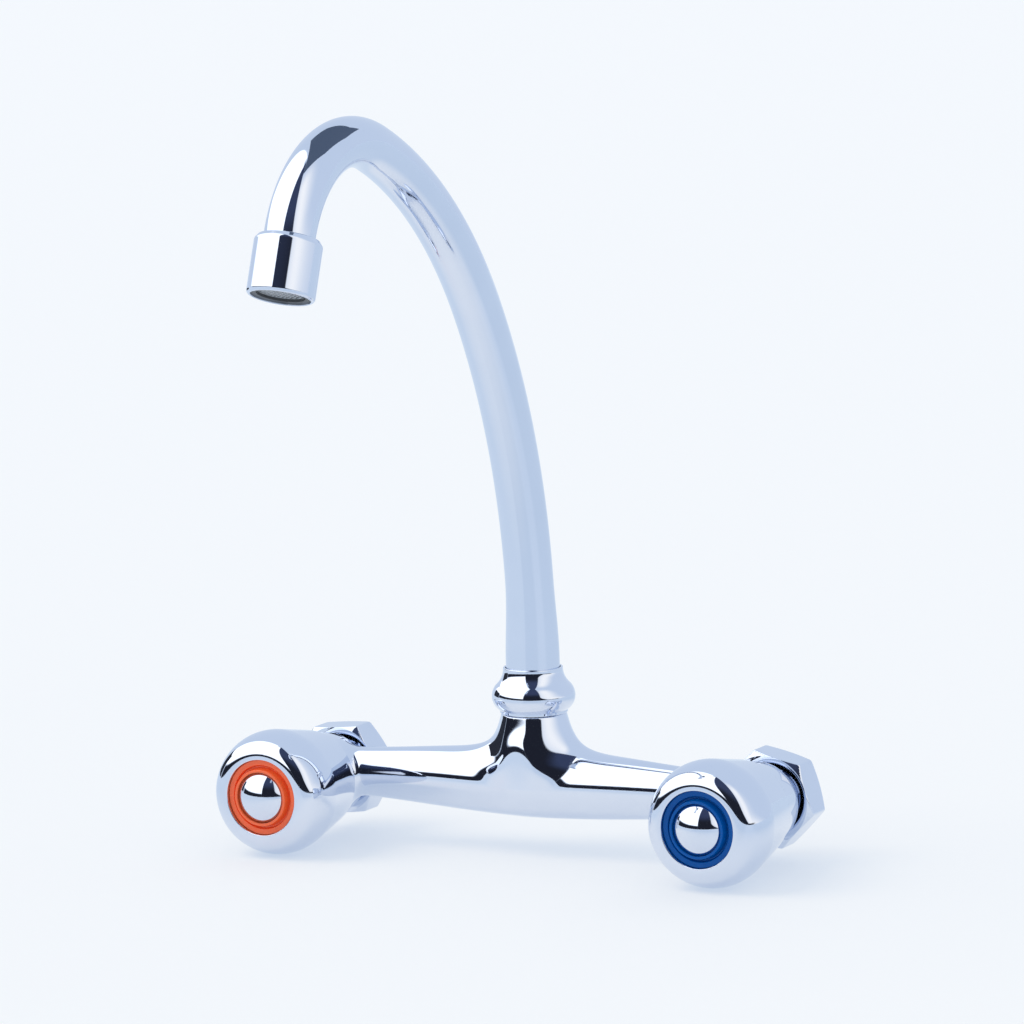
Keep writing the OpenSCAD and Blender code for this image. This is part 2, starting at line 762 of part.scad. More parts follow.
// Outline of the spline, with its clearance
module spline(clearance) {
    polygon([
        for (i = [0:2 * spline_teeth - 1])
            let (r = stem_r - 0.1 + clearance - (i % 2) * spline_depth, a = 180 * i / spline_teeth)
                [r * cos(a), r * sin(a)]
    ]);
}

gland_grooves = [0.28, 0.72];

module spindle(side) {
    groove_r = stem_r - o_ring_cord;
    color("gold") at_valve(side) difference() {
        union() {
            translate([0, 0, drive_rear]) cylinder(h = thrust_rear - drive_rear, r = drive_r);
            translate([0, 0, thrust_rear]) cylinder(h = thrust_thick, r = thrust_r);
            translate([0, 0, thrust_front]) cylinder(h = spline_rear - thrust_front, r = stem_r);
            translate([0, 0, spline_rear]) linear_extrude(spline_front - spline_rear) spline(0);
        }
        for (share = gland_grooves) {
            middle = gland_rear + share * gland_length;
            ring(stem_r + cut, groove_r, middle - 0.6, middle + 0.6);
        }
        ring(stem_r + cut, stem_r - 0.8, clip_rear, clip_front);
        translate([0, 0, spline_front - 7]) cylinder(h = 7 + cut, r = screw_r + seat_fit);
    }
}

module spindle_o_rings(side) {
    color("dimgray") at_valve(side) for (share = gland_grooves) {
        o_ring(stem_r, gland_rear + share * gland_length);
    }
}

module spindle_clip(side) {
    inner = stem_r - 0.8 + seat_fit;
    color("silver") at_valve(side) difference() {
        ring(clip_r, inner, clip_rear, clip_front - 0.05);
        translate([0, -inner * 0.7, clip_rear - cut]) cube([clip_r + cut, inner * 1.4, clip_thick + 2 * cut]);
    }
}

module thrust_washer(side) {
    color("white") at_valve(side) ring(
        thrust_r, stem_r + running_fit, gland_rear - thrust_washer_thick, gland_rear
    );
}

// The handle and its trim

module handle(side) {
    side_r = knob_r - crest_r;
    side_s = knob_round - crest_round;
    round_r = (side_r * side_r + side_s * side_s - crest_round * crest_round) / (2 * (side_r - crest_round));
    centre_r = knob_r - round_r;
    back_r = knob_rear_r - centre_r;
    back_s = knob_rear - knob_wide;
    start = atan2(back_s, back_r) + acos(round_r / norm([back_r, back_s]));
    meet = atan2(side_s, crest_r - centre_r);
    outside = concat(
        [[0, knob_rear], [knob_rear_r - 0.3, knob_rear], [knob_rear_r, knob_rear + 0.3]],
        arc(centre_r, knob_wide, round_r, start, meet, 12),
        arc(crest_r, knob_front - crest_round, crest_round, meet, 112, 8),
        [[0, knob_front - 0.2]]
    );
    turn_r = web_rear - knob_wide;
    inside = concat(
        [[0, knob_rear - cut], [knob_rear_r - knob_wall, knob_rear - cut], [knob_rear_r - knob_wall, knob_rear]],
        arc(knob_r - knob_wall - turn_r, knob_wide, turn_r, 0, 90, 8),
        [[0, web_rear]]
    );
    color("silver") at_valve(side) difference() {
        union() {
            difference() {
                rotate_extrude() polygon(outside);
                rotate_extrude() polygon(inside);
            }
            translate([0, 0, spline_rear]) cylinder(h = web_rear - spline_rear + 0.5, r = hub_r);
            for (i = [0:rib_count - 1]) {
                rotate([0, 0, 360 * i / rib_count]) translate(
                    [hub_r - 1, -rib_thick / 2, web_rear - 4]
                ) cube([knob_r - knob_wall - turn_r - hub_r + 4, rib_thick, 4.5]);
            }
        }
        translate([0, 0, spline_rear - cut]) linear_extrude(spline_front - spline_rear + cut) spline(seat_fit);
        translate([0, 0, spline_rear]) cylinder(h = knob_front - spline_rear, r = screw_r + 0.2);
        translate([0, 0, recess_floor]) cylinder(h = knob_front - recess_floor + cut, r = index_r + seat_fit);
    }
}

module index_ring(side, colour) {
    groove_r = index_r - 2.4;
    collar_inner = cap_r + seat_fit;
    collar_top = index_face + index_collar;
    profile = [
        [collar_inner, recess_floor], [index_r, recess_floor], [index_r, index_face - 0.2],
        [index_r - 0.3, index_face], [groove_r, index_face - 0.3], [groove_r - 0.3, index_face - 0.7],
        [groove_r - 0.6, index_face - 0.3], [groove_r - 0.8, collar_top - 0.3],
        [groove_r - 1, collar_top], [collar_inner, collar_top]
    ];
    color(colour) at_valve(side) rotate_extrude() polygon(profile);
}

module cap(side) {
    top = recess_floor + cap_side;
    dome_r = (cap_r * cap_r + cap_dome * cap_dome) / (2 * cap_dome);
    inner_r = dome_r - cap_wall;
    centre = top + cap_dome - dome_r;
    shell_r = cap_r - cap_wall;
    outside = concat(
        [[0, recess_floor], [cap_r, recess_floor]],
        arc(0, centre, dome_r, asin((top - centre) / dome_r), 90, 10)
    );
    inside = concat(
        [[0, recess_floor - cut], [shell_r, recess_floor - cut]],
        arc(0, centre, inner_r, acos(shell_r / inner_r), 90, 8)
    );
    color("silver") at_valve(side) difference() {
        rotate_extrude() polygon(outside);
        rotate_extrude() polygon(inside);
    }
}

module handle_screw(side) {
    slot = 0.9;
    color("gainsboro") at_valve(side) difference() {
        union() {
            translate([0, 0, recess_floor]) cylinder(h = screw_head, r1 = screw_head_r, r2 = screw_head_r - 0.5);
            translate([0, 0, spline_front - 6]) cylinder(h = recess_floor - spline_front + 6.1, r = screw_r);
        }
        for (turn = [0, 90]) {
            rotate([0, 0, turn]) translate([-2, -slot / 2, recess_floor + 0.9]) cube([4, slot, screw_head]);
        }
    }
}

// The union at each inlet

module union_nut(side) {
    corner_r = nut_flats / sqrt(3);
    bevel = 1.2;
    profile = [
        [0, 0], [nut_flats / 2 + 0.2, 0], [corner_r + 0.1, bevel], [corner_r + 0.1, nut_length - bevel - 0.6],
        [nut_flats / 2, nut_length], [0, nut_length]
    ];
    shoulder = nut_length - nut_front_wall;
    color("silver") at_valve(side) rotate([0, 0, side == hot ? hot_nut_turn : cold_nut_turn]) difference() {
        intersection() {
            hexagon(nut_flats, 0, nut_length);
            rotate_extrude() polygon(profile);
        }
        translate([0, 0, -cut]) cylinder(h = nut_thread + cut, r = nut_thread_r);
        translate([0, 0, nut_thread]) cylinder(h = shoulder - nut_thread, r = nut_relief_r);
        translate([0, 0, shoulder - cut]) cylinder(h = nut_front_wall + 2 * cut, r = tail_neck_r + 0.3);
    }
}

tail_flange_front = nut_length - nut_front_wall - end_gap;
tail_flange_rear = tail_flange_front - tail_flange;
tail_flange_r = nut_thread_r - 0.3;

module tailpiece(side) {
    color("silver") at_valve(side) difference() {
        union() {
            translate([0, 0, tail_flange_rear]) cylinder(h = tail_flange, r = tail_flange_r);
            translate([0, 0, tail_flange_rear]) cylinder(h = chest_rear - tail_flange_rear, r = tail_neck_r);
            translate([0, 0, chest_rear - 1]) cylinder(h = tail_thread + 1, r = tail_thread_r);
        }
        translate([0, 0, tail_flange_rear - cut]) cylinder(h = 30, r = tail_bore_r);
        hexagon(tail_key, tail_flange_rear - cut, tail_flange_rear + 6);
    }
}

module inlet_gasket(side) {
    color("dimgray") at_valve(side) ring(
        tail_flange_r - 0.1, tail_neck_r - 1.4, tail_flange_rear - gasket_thick, tail_flange_rear
    );
}

module strainer(side) {
    rim_r = tail_neck_r - 1.5;
    basket_r = tail_bore_r - 0.5;
    end = tail_flange_rear + strainer_depth;
    holes = 10;
    slot = 1;
    color("lightgray") at_valve(side) difference() {
        union() {
            translate([0, 0, tail_flange_rear - strainer_wall]) cylinder(h = strainer_wall, r = rim_r);
            translate([0, 0, tail_flange_rear - strainer_wall]) cylinder(
                h = end - tail_flange_rear + strainer_wall, r = basket_r
            );
        }
        translate([0, 0, tail_flange_rear - strainer_wall - cut]) cylinder(
            h = end - tail_flange_rear + cut, r = basket_r - strainer_wall
        );
        for (i = [0:holes - 1]) {
            rotate([0, 0, 360 * i / holes]) translate([0, -slot / 2, tail_flange_rear + 1]) cube(
                [basket_r + cut, slot, end - tail_flange_rear - 2]
            );
            rotate([0, 0, 360 * i / holes]) translate([basket_r - 1.8, 0, end - 2]) cylinder(
                h = 4, r = 0.6, $fn = 16
            );
        }
    }
}

body();
spout_nut();
spout_retaining_ring();
spout_washer();
spout_tube();
spout_tailpiece();
spout_o_rings();
aerator_housing();
aerator_body();
aerator_insert();
aerator_screens();
aerator_washer();
handle(hot);  // hot_handle
index_ring(hot, "orangered");  // hot_index_ring
cap(hot);  // hot_cap
handle_screw(hot);  // hot_handle_screw
spindle(hot);  // hot_spindle
spindle_o_rings(hot);  // hot_spindle_o_rings
spindle_clip(hot);  // hot_spindle_clip
thrust_washer(hot);  // hot_thrust_washer
bonnet(hot);  // hot_bonnet
bonnet_gasket(hot);  // hot_bonnet_gasket
washer_plug(hot);  // hot_washer_plug
tap_washer(hot);  // hot_tap_washer
washer_screw(hot);  // hot_washer_screw
union_nut(hot);  // hot_union_nut
tailpiece(hot);  // hot_tailpiece
inlet_gasket(hot);  // hot_inlet_gasket
strainer(hot);  // hot_strainer
handle(cold);  // cold_handle
index_ring(cold, "royalblue");  // cold_index_ring
cap(cold);  // cold_cap
handle_screw(cold);  // cold_handle_screw
spindle(cold);  // cold_spindle
spindle_o_rings(cold);  // cold_spindle_o_rings
spindle_clip(cold);  // cold_spindle_clip
thrust_washer(cold);  // cold_thrust_washer
bonnet(cold);  // cold_bonnet
bonnet_gasket(cold);  // cold_bonnet_gasket
washer_plug(cold);  // cold_washer_plug
tap_washer(cold);  // cold_tap_washer
washer_screw(cold);  // cold_washer_screw
union_nut(cold);  // cold_union_nut
tailpiece(cold);  // cold_tailpiece
inlet_gasket(cold);  // cold_inlet_gasket
strainer(cold);  // cold_strainer
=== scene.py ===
# %% [markdown]
# # A wall-mounted kitchen mixer
# The real object is a chromed brass casting with two valves, a bent spout and two hollow handles.
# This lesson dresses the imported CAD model: the hidden pieces keep their CAD shape and get a finish, and
# each polished piece that shows is built again as a smooth surface, because a mirror finish shows every
# facet of a coarse mesh. The frame is the one of the CAD model, in metres.

# %% Load the frame
import json

import bpy
import numpy as np
from mathutils import Matrix


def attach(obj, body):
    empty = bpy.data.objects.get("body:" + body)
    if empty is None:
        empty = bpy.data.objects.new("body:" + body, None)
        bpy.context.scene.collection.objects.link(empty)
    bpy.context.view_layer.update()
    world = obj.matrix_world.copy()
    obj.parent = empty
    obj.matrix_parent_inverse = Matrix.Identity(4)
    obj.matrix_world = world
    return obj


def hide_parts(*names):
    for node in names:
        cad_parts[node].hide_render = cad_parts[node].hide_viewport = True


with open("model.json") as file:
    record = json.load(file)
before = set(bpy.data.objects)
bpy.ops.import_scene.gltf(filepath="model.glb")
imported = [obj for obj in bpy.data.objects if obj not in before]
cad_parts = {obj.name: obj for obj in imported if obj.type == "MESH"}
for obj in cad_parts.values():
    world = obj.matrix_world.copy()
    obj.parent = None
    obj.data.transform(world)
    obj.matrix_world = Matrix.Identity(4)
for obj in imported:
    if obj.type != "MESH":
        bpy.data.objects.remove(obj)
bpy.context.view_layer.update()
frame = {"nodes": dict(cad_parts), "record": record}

nodes = frame["nodes"]

# %% [markdown]
# ## The camera
# The photograph was taken from the front and the cold side, a little above the handles, with a long
# lens. The camera stands on a ray given by an azimuth and an elevation, and is rolled a little about its
# own axis. Its focal length is given in pixels of a frame 1024 pixels wide.

# %% Camera
MM = 0.001
SPOUT_AXIS = 19.0
FRAME_PX, FOCAL_PX = 1024, 6000
SENSOR, NEAREST, FARTHEST = 36, 0.05, 60
AZIMUTH, ELEVATION, ROLL = np.radians([27.36, 8.23, 1.48])
CAMERA_DISTANCE, CAMERA_SIDE, AIM_HEIGHT = 1854.45 * MM, -5.25 * MM, 87.35 * MM


def towards(azimuth, elevation):
    """The unit vector (sin a cos e, -cos a cos e, sin e) of an azimuth a and an elevation e."""
    flat = np.cos(elevation)
    return np.array([np.sin(azimuth) * flat, -np.cos(azimuth) * flat, np.sin(elevation)])


def add_object(name, data):
    """Puts a new object in the scene, from a mesh, a camera or a lamp."""
    made = bpy.data.objects.new(name, data)
    bpy.context.scene.collection.objects.link(made)
    return made


def standing(right, up, back, place=(0, 0, 0)):
    """The matrix of a camera or lamp with these axes at a place. Both look along minus back."""
    return Matrix([*zip(right, up, back, place), (0, 0, 0, 1)])


back = towards(AZIMUTH, ELEVATION)
level = np.array([np.cos(AZIMUTH), np.sin(AZIMUTH), 0.0])
upright = np.cross(back, level)
camera_right = np.cos(ROLL) * level - np.sin(ROLL) * upright
camera_up = np.sin(ROLL) * level + np.cos(ROLL) * upright
eye = CAMERA_SIDE * level + np.array([0, -SPOUT_AXIS * MM, AIM_HEIGHT]) + back * CAMERA_DISTANCE

lens = bpy.data.cameras.new("view")
lens.sensor_width = SENSOR
lens.lens = SENSOR * FOCAL_PX / FRAME_PX
lens.clip_start, lens.clip_end = NEAREST, FARTHEST
camera = add_object("view", lens)
camera.matrix_world = standing(camera_right, camera_up, back, eye)
bpy.context.scene.camera = camera
print("camera at", np.round(eye, 3), "lens", round(lens.lens, 1), "mm")

# %% [markdown]
# ## Turning numbers into surfaces
# Each new piece is a row of patches. A patch is a grid of points with the surface's true normal at each
# point, and the next patch starts on the last row of the one before. Giving Blender the true normals
# matters on chrome: a reflection bends by twice the error of the normal it meets.

# %% Patches into a mesh
TINY = 1e-12
standing_for = {}


def make_piece(name, stands_for, points, quads, corner_normals):
    """Makes a mesh object and notes the CAD node that it stands for. A quad that names a vertex twice
    in a row becomes a triangle."""
    a_twice = quads[:, 0] == quads[:, 1]
    c_twice = quads[:, 2] == quads[:, 3]
    groups = [
        (quads[rows][:, kept], corner_normals[rows][:, kept])
        for rows, kept in ((~(a_twice | c_twice), [0, 1, 2, 3]), (a_twice, [0, 2, 3]), (c_twice, [0, 1, 2]))
    ]
    faces = [face for group, _ in groups for face in group.tolist()]
    loops = np.concatenate([normals.reshape(-1, 3) for _, normals in groups])
    loops = loops / np.maximum(np.linalg.norm(loops, axis=1, keepdims=True), TINY)
    mesh = bpy.data.meshes.new(name)
    mesh.from_pydata(points * MM, [], faces)
    mesh.shade_smooth()
    mesh.normals_split_custom_set(loops.tolist())
    standing_for[add_object(name, mesh)] = stands_for
    print(f"{name}: {len(points)} vertices, {len(faces)} faces")


def flat_ring(first, last, normal):
    """A patch of two rows that share one normal."""
    return np.stack([first, last]), np.broadcast_to(np.array(normal, float), (2,) + first.shape)


def corners_of(low, high):
    """The four corners of each quad between two neighbouring rows, in order."""
    return [low, np.roll(low, -1, 1), np.roll(high, -1, 1), high]


def stitch(patches, closed=True):
    """Joins patches of (points, normals), each rows x columns x 3, into points, quads and normals.

    Columns run round the piece and close on themselves. Each patch leaves its last row to the next
    one, and the last patch ends on the first row of the first, or stays open. A row whose points all
    coincide becomes one pole."""
    rows = sum(p.shape[0] - 1 for p, _ in patches) + (0 if closed else 1)
    columns = patches[0][0].shape[1]
    points = np.concatenate([p[:-1] for p, _ in patches] + ([] if closed else [patches[-1][0][-1:]]))
    ids = np.arange(rows * columns).reshape(rows, columns)
    poles = np.ptp(points, axis=1).max(axis=1) < 1e-9
    ids[poles] = ids[poles, :1]
    quads, normals = [], []
    start = 0
    for _, normal in patches:
        row = start + np.arange(normal.shape[0] - 1)
        quads.append(np.stack(corners_of(ids[row % rows], ids[(row + 1) % rows]), 2).reshape(-1, 4))
        normals.append(np.stack(corners_of(normal[:-1], normal[1:]), 2).reshape(-1, 4, 3))
        start += normal.shape[0] - 1
    kept, quads = np.unique(np.concatenate(quads), return_inverse=True)
    return points.reshape(-1, 3)[kept], quads.reshape(-1, 4), np.concatenate(normals)


# %% [markdown]
# ## Turned pieces
# Most of the mixer was turned on a lathe. An outline is drawn by a pen in a plane of radius and depth,
# with the metal on the pen's left, and is then turned about the axis. Lines and arcs carry their own
# normals, and every corner that a finger could touch gets a small round.

# %% Outlines and the lathe


def line(a, b):
    """A straight stretch from a to b: its two points and its normal, a quarter turn to the right."""
    a, b = np.array(a, float), np.array(b, float)
    along = (b - a) / max(np.linalg.norm(b - a), TINY)
    return np.array([a, b]), np.array([[along[1], -along[0]]] * 2)


def polar(degrees):
    """The unit vector (cos a, sin a) at an angle a in degrees."""
    angle = np.radians(degrees)
    return np.stack([np.cos(angle), np.sin(angle)], -1)


def arc(centre, radius, start, end, steps):
    """Part of a circle, from angle start to angle end in degrees. Its normals lie on its radii."""
    spoke = polar(np.linspace(start, end, steps + 1))
    return np.array(centre) + radius * spoke, spoke * np.sign(end - start)


def rounded(corners, closed=False, steps=5):
    """Lines through corners of (radius, depth, rounding), with an arc in each corner that is rounded.

    An arc starts and ends rounding * tan(half the turn) from its corner, and its centre lies on the
    corner's bisector."""
    corners = np.array(corners, float)
    count = len(corners)
    pieces = []
    for i in range(count) if closed else range(1, count - 1):
        here, before, after = corners[i, :2], corners[i - 1, :2], corners[(i + 1) % count, :2]
        into = (here - before) / np.linalg.norm(here - before)
        away = (after - here) / np.linalg.norm(after - here)
        turn = np.arctan2(into[0] * away[1] - into[1] * away[0], into @ away)
        radius = corners[i, 2]
        if radius <= 0 or abs(turn) < 1e-6:
            pieces.append((here, here, None))
            continue
        back_off = radius * np.tan(abs(turn) / 2)
        side = np.array([-into[1], into[0]]) * np.sign(turn)
        centre = here - into * back_off + side * radius
        first = np.degrees(np.arctan2(*(-side)[::-1]))
        pieces.append((here - into * back_off, here + away * back_off,
                       arc(centre, radius, first, first + np.degrees(turn), steps)))
    if not closed:
        ends = corners[[0, -1], :2]
        pieces = [(ends[0], ends[0], None)] + pieces + [(ends[1], ends[1], None)]
    found = []
    for (_, leave, bend), (entry, _, _) in zip(pieces, pieces[1:] + (pieces[:1] if closed else [])):
        found += ([bend] if bend else []) + [line(leave, entry)]
    return found


def turned(outline, sides=128):
    """Turns each (points, normals) stretch of an outline about the depth axis.

    A point (radius, depth) becomes (radius cos a, radius sin a, depth)."""
    angle = np.linspace(0, 2 * np.pi, sides, endpoint=False)
    cos, sin = np.cos(angle), np.sin(angle)
    return [tuple(np.stack([row[:, :1] * cos, row[:, :1] * sin, row[:, 1:] + 0 * cos], -1) for row in stretch)
            for stretch in outline]


# %% [markdown]
# ## Where the pieces go
# A valve's pieces are drawn along their depth from the wall, and the outlet's pieces along the flow.
# Small functions bring them to their place. The sizes are the CAD model's own, in millimetres.

# %% Places
INLET = 75.0
HOT, COLD = -1, 1


def moved(part, turn, place):
    """Turns and then moves a part of (points, quads, normals)."""
    points, quads, normals = part
    turn = np.array(turn, float)
    return points @ turn.T + place, quads, normals @ turn.T


def at_valve(part, side):
    """A part drawn along a valve's axis goes to its inlet: depth runs along -Y."""
    return moved(part, [[1, 0, 0], [0, 0, -1], [0, 1, 0]], [side * INLET, 0, 0])


def make_pair(label, node, part, cold_part=None):
    """Makes a piece at each valve. The cold one may have a part of its own."""
    for name, side, own in (("hot", HOT, part), ("cold", COLD, cold_part or part)):
        make_piece(f"{name}_{label}", f"{name}_{node}", *at_valve(own, side))


def at_spout(part):
    """A part drawn along Z goes to the spout's upright axis."""
    return moved(part, np.eye(3), [0, -SPOUT_AXIS, 0])


# %% [markdown]
# ## The body casting
# The body is one casting: two arms that swell towards the middle, a neck that flares out of them, and a
# chest at each end, all run together with soft fillets. Patches would meet in creases, so this piece is
# an implicit surface: a function that is negative in the metal and positive outside. Fillets come from
# a smooth minimum, and a net of quads is wrapped round the zero level and drawn onto it.

# %% Field of the casting
ARM_RUN, ARM_END, ARM_Z, ARM_LEAN = 61.0, 66.0, 2.3, 1.6
ARM_HIGH, HIGH_SWELL, HIGH_POWER, ARM_DEEP, DEEP_SWELL, DEEP_POWER = 7.7, 3.2, 1.4, 6.3, 4.7, 2.2
FRONT_RISE, RISE_WIDE, FRONT_SQUARE, SQUARE_WIDE, FRONT_DEEP, DEEP_WIDE = 8.0, 6.0, 5.0, 7.0, 1.4, 9.0
NECK_R, NECK_TOP, NECK_SUNK, NECK_ROUND = 12.0, 24.4, 8.4, 0.5
NECK_STRAIGHT, NECK_SLOPED, NECK_TAPER = 11.0, 19.0, 0.2
FLARE, FLARE_FRONT, FLARE_RISE, FLARE_SPREAD = 16.0, 3.0, 10.0, 20.0
CHEST_REAR, CHEST_FRONT, COLLAR_REAR, COLLAR_FRONT = 14.0, 27.5, 16.0, 31.5
CHEST_REAR_R, CHEST_FRONT_R, COLLAR_R, CHEST_BLEND = 12.6, 15.0, 12.4, 3.2
REAR_ROUND, FRONT_ROUND, EDGE_ROUND, LEAST_SLOPE = 1.6, 0.8, 0.6, 0.03
STUB_R, STUB_FOOT, STUB_TOP = 9.3, 20.0, 30.2
CHAMBER, VALVE_BORES = (9.6, 19.8, 40.0), ((8.32, 5.0, 18.4), (5.4, 14.0, 30.0))
SEAT_R, SEAT_SLOPE, SEAT_TOP, SEAT_SPAN = 6.9, 0.25, 20.4, (19.0, 21.0)
SOCKET_BORES = ((7.4, 13.2, 60.0), (6.0, -3.5, 14.0))
WATERWAY, WATERWAY_Y, WATERWAY_Z = (3.4, -1.0, 65.9), 21.2, 0.5


def soft_min(a, b, k, power=2):
    """The smaller of a and b, rounded over a width k: min(a, b) - k h^n / (2 n), h = 1 - |a - b| / k.

    With the power n = 2 the curvature jumps where the rounding starts. With 3 it does not."""
    h = np.maximum(k - np.abs(a - b), 0) / k
    return np.minimum(a, b) - k * h**power / (2 * power)


def soft_max(a, b, k):
    """The larger of a and b, rounded the same way."""
    return -soft_min(-a, -b, k)


def hill(x, width):
    """A smooth hill over the middle: exp(-(x / width)^2)."""
    return np.exp(-(x / width) ** 2)


def arm_section(x):
    """Half depth, middle depth, lower and upper half height, and power of the section at x.

    The arms shrink outwards with powers of a cosine. Under the neck the section is a little deeper, and
    its upper half is taller and squarer, so that the front runs straight up into the neck."""
    share = np.minimum(np.abs(x) / ARM_RUN, 1)
    fall = np.cos(share * np.pi / 2)
    lower = ARM_HIGH + HIGH_SWELL * fall**HIGH_POWER
    upper = lower + FRONT_RISE * hill(x, RISE_WIDE)
    power = 2 + FRONT_SQUARE * hill(x, SQUARE_WIDE)
    deep = ARM_DEEP + DEEP_SWELL * fall**DEEP_POWER + FRONT_DEEP * hill(x, DEEP_WIDE)
    return deep, -SPOUT_AXIS - ARM_LEAN * share**2, lower, upper, power


def arm_field(p):
    """Distance to the section's curve g = 1, g = sqrt(u^2 + |v|^n): g (g - 1) over g's gradient.

    u and v are the offsets over the half depth and half height. n is 2 below the middle."""
    deep, middle, lower, upper, power = arm_section(p[:, 0])
    above = p[:, 2] > ARM_Z
    high, n = np.where(above, upper, lower), np.where(above, power, 2)
    u, v = (p[:, 1] - middle) / deep, np.abs(p[:, 2] - ARM_Z) / high
    g = np.sqrt(u * u + v**n)
    steep = np.maximum(np.hypot(u / deep, n / 2 * v ** (n - 1) / high), LEAST_SLOPE)
    return np.maximum(g * (g - 1) / steep, np.abs(p[:, 0]) - ARM_END)


def neck_field(p):
    """A cone that stands up straight lower down, and ends in half an ellipsoid inside the arms.

    The cone's slope grows by a smooth step between NECK_STRAIGHT and NECK_SLOPED above the arms. The
    field is e (e - 1) over e's gradient, with e the offset over the ellipsoid's size."""
    rho = from_spout(p)
    reach = NECK_SLOPED - NECK_STRAIGHT
    share = np.clip((p[:, 2] - NECK_STRAIGHT) / reach, 0, 1)
    taper = NECK_TAPER * (reach * (share**3 - share**4 / 2) + np.maximum(p[:, 2] - NECK_SLOPED, 0))
    sunk = np.minimum(p[:, 2] - ARM_Z, 0)
    wide = NECK_R - taper
    e = np.hypot(rho / wide, sunk / NECK_SUNK)
    steep = np.maximum(np.hypot(rho / wide**2, sunk / NECK_SUNK**2), LEAST_SLOPE)
    return soft_max(e * (e - 1) / steep, p[:, 2] - NECK_TOP, NECK_ROUND)


def flare_width(p):
    """How wide the neck and the arms run together: a lot towards the arms, little at the front.

    The share along the arms is x^2 / (x^2 + y^2 + spread). It grows with height by a smooth step."""
    x, y = p[:, 0], p[:, 1] + SPOUT_AXIS
    rise = np.clip(p[:, 2] / FLARE_RISE, 0, 1)
    along = x * x / (x * x + y * y + FLARE_SPREAD)
    return FLARE_FRONT + FLARE * along * rise * rise * (3 - 2 * rise)


def gradient(field, p, step=0.03):
    """Central differences of the field along x, y and z."""
    return np.stack([
        (field(p + step * axis) - field(p - step * axis)) / (2 * step) for axis in np.eye(3)
    ], 1)


def from_spout(p):
    """Distance from the spout's axis."""
    return np.hypot(p[:, 0], p[:, 1] + SPOUT_AXIS)


def from_valve(p):
    """Distance from the nearer valve's axis, and depth along it."""
    return np.hypot(np.abs(p[:, 0]) - INLET, p[:, 2]), -p[:, 1]


def chest_field(p):
    """A chest is a cone between two planes, with a turned collar in front of it."""
    radius, depth = from_valve(p)
    slope = (CHEST_FRONT_R - CHEST_REAR_R) / (CHEST_FRONT - CHEST_REAR)
    cone = (radius - CHEST_REAR_R - slope * (depth - CHEST_REAR)) / np.hypot(1, slope)
    cone = soft_max(soft_max(cone, CHEST_REAR - depth, REAR_ROUND), depth - CHEST_FRONT, FRONT_ROUND)
    collar = soft_max(radius - COLLAR_R, depth - COLLAR_FRONT, EDGE_ROUND)
    return np.minimum(cone, np.maximum(collar, COLLAR_REAR - depth))


def round_hole(radius, depth, hole_r, start, end):
    """A drilled hole between two depths: negative inside it."""
    return np.maximum(np.maximum(radius - hole_r, start - depth), depth - end)


def bores_field(p):
    """The valve chambers with their raised seats, the waterway, and the socket under the spout."""
    radius, depth = from_valve(p)
    seat = round_hole(radius, depth, SEAT_R + SEAT_SLOPE * (SEAT_TOP - depth), *SEAT_SPAN)
    holes = [np.maximum(round_hole(radius, depth, *CHAMBER), -seat)]
    holes += [round_hole(radius, depth, *bore) for bore in VALVE_BORES]
    holes += [round_hole(from_spout(p), p[:, 2], *bore) for bore in SOCKET_BORES]
    off_axis = np.hypot(p[:, 1] + WATERWAY_Y, p[:, 2] - WATERWAY_Z)
    holes.append(round_hole(off_axis, np.abs(p[:, 0]), *WATERWAY))
    return np.minimum.reduce(holes)


def casting_field(p):
    """The arms, neck and chests run together, with the spout's stub on top and the bores cut out."""
    skin = soft_min(arm_field(p), neck_field(p), flare_width(p), power=3)
    skin = soft_min(skin, chest_field(p), CHEST_BLEND)
    stub = soft_max(from_spout(p) - STUB_R, p[:, 2] - STUB_TOP, EDGE_ROUND)
    return np.maximum(np.minimum(skin, np.maximum(stub, STUB_FOOT - p[:, 2])), -bores_field(p))


# %% [markdown]
# A surface net puts one vertex in each cell of a lattice that the skin passes through, at the mean of
# the places where the skin crosses the cell's edges, and one quad across each lattice edge that the skin
# crosses. A few rounds of smoothing even the net out, and Newton steps bring it back to the true skin.

# %% Surface net
SMOOTHINGS, NEWTON_STEPS, LONGEST_MOVE, FLATTEST = 4, 2, 0.25, 0.05


def both_ends(cut, axis):
    """A cut without its last and without its first place along one axis."""
    near, far = list(cut), list(cut)
    near[axis], far[axis] = slice(0, -1), slice(1, None)
    return tuple(near), tuple(far)


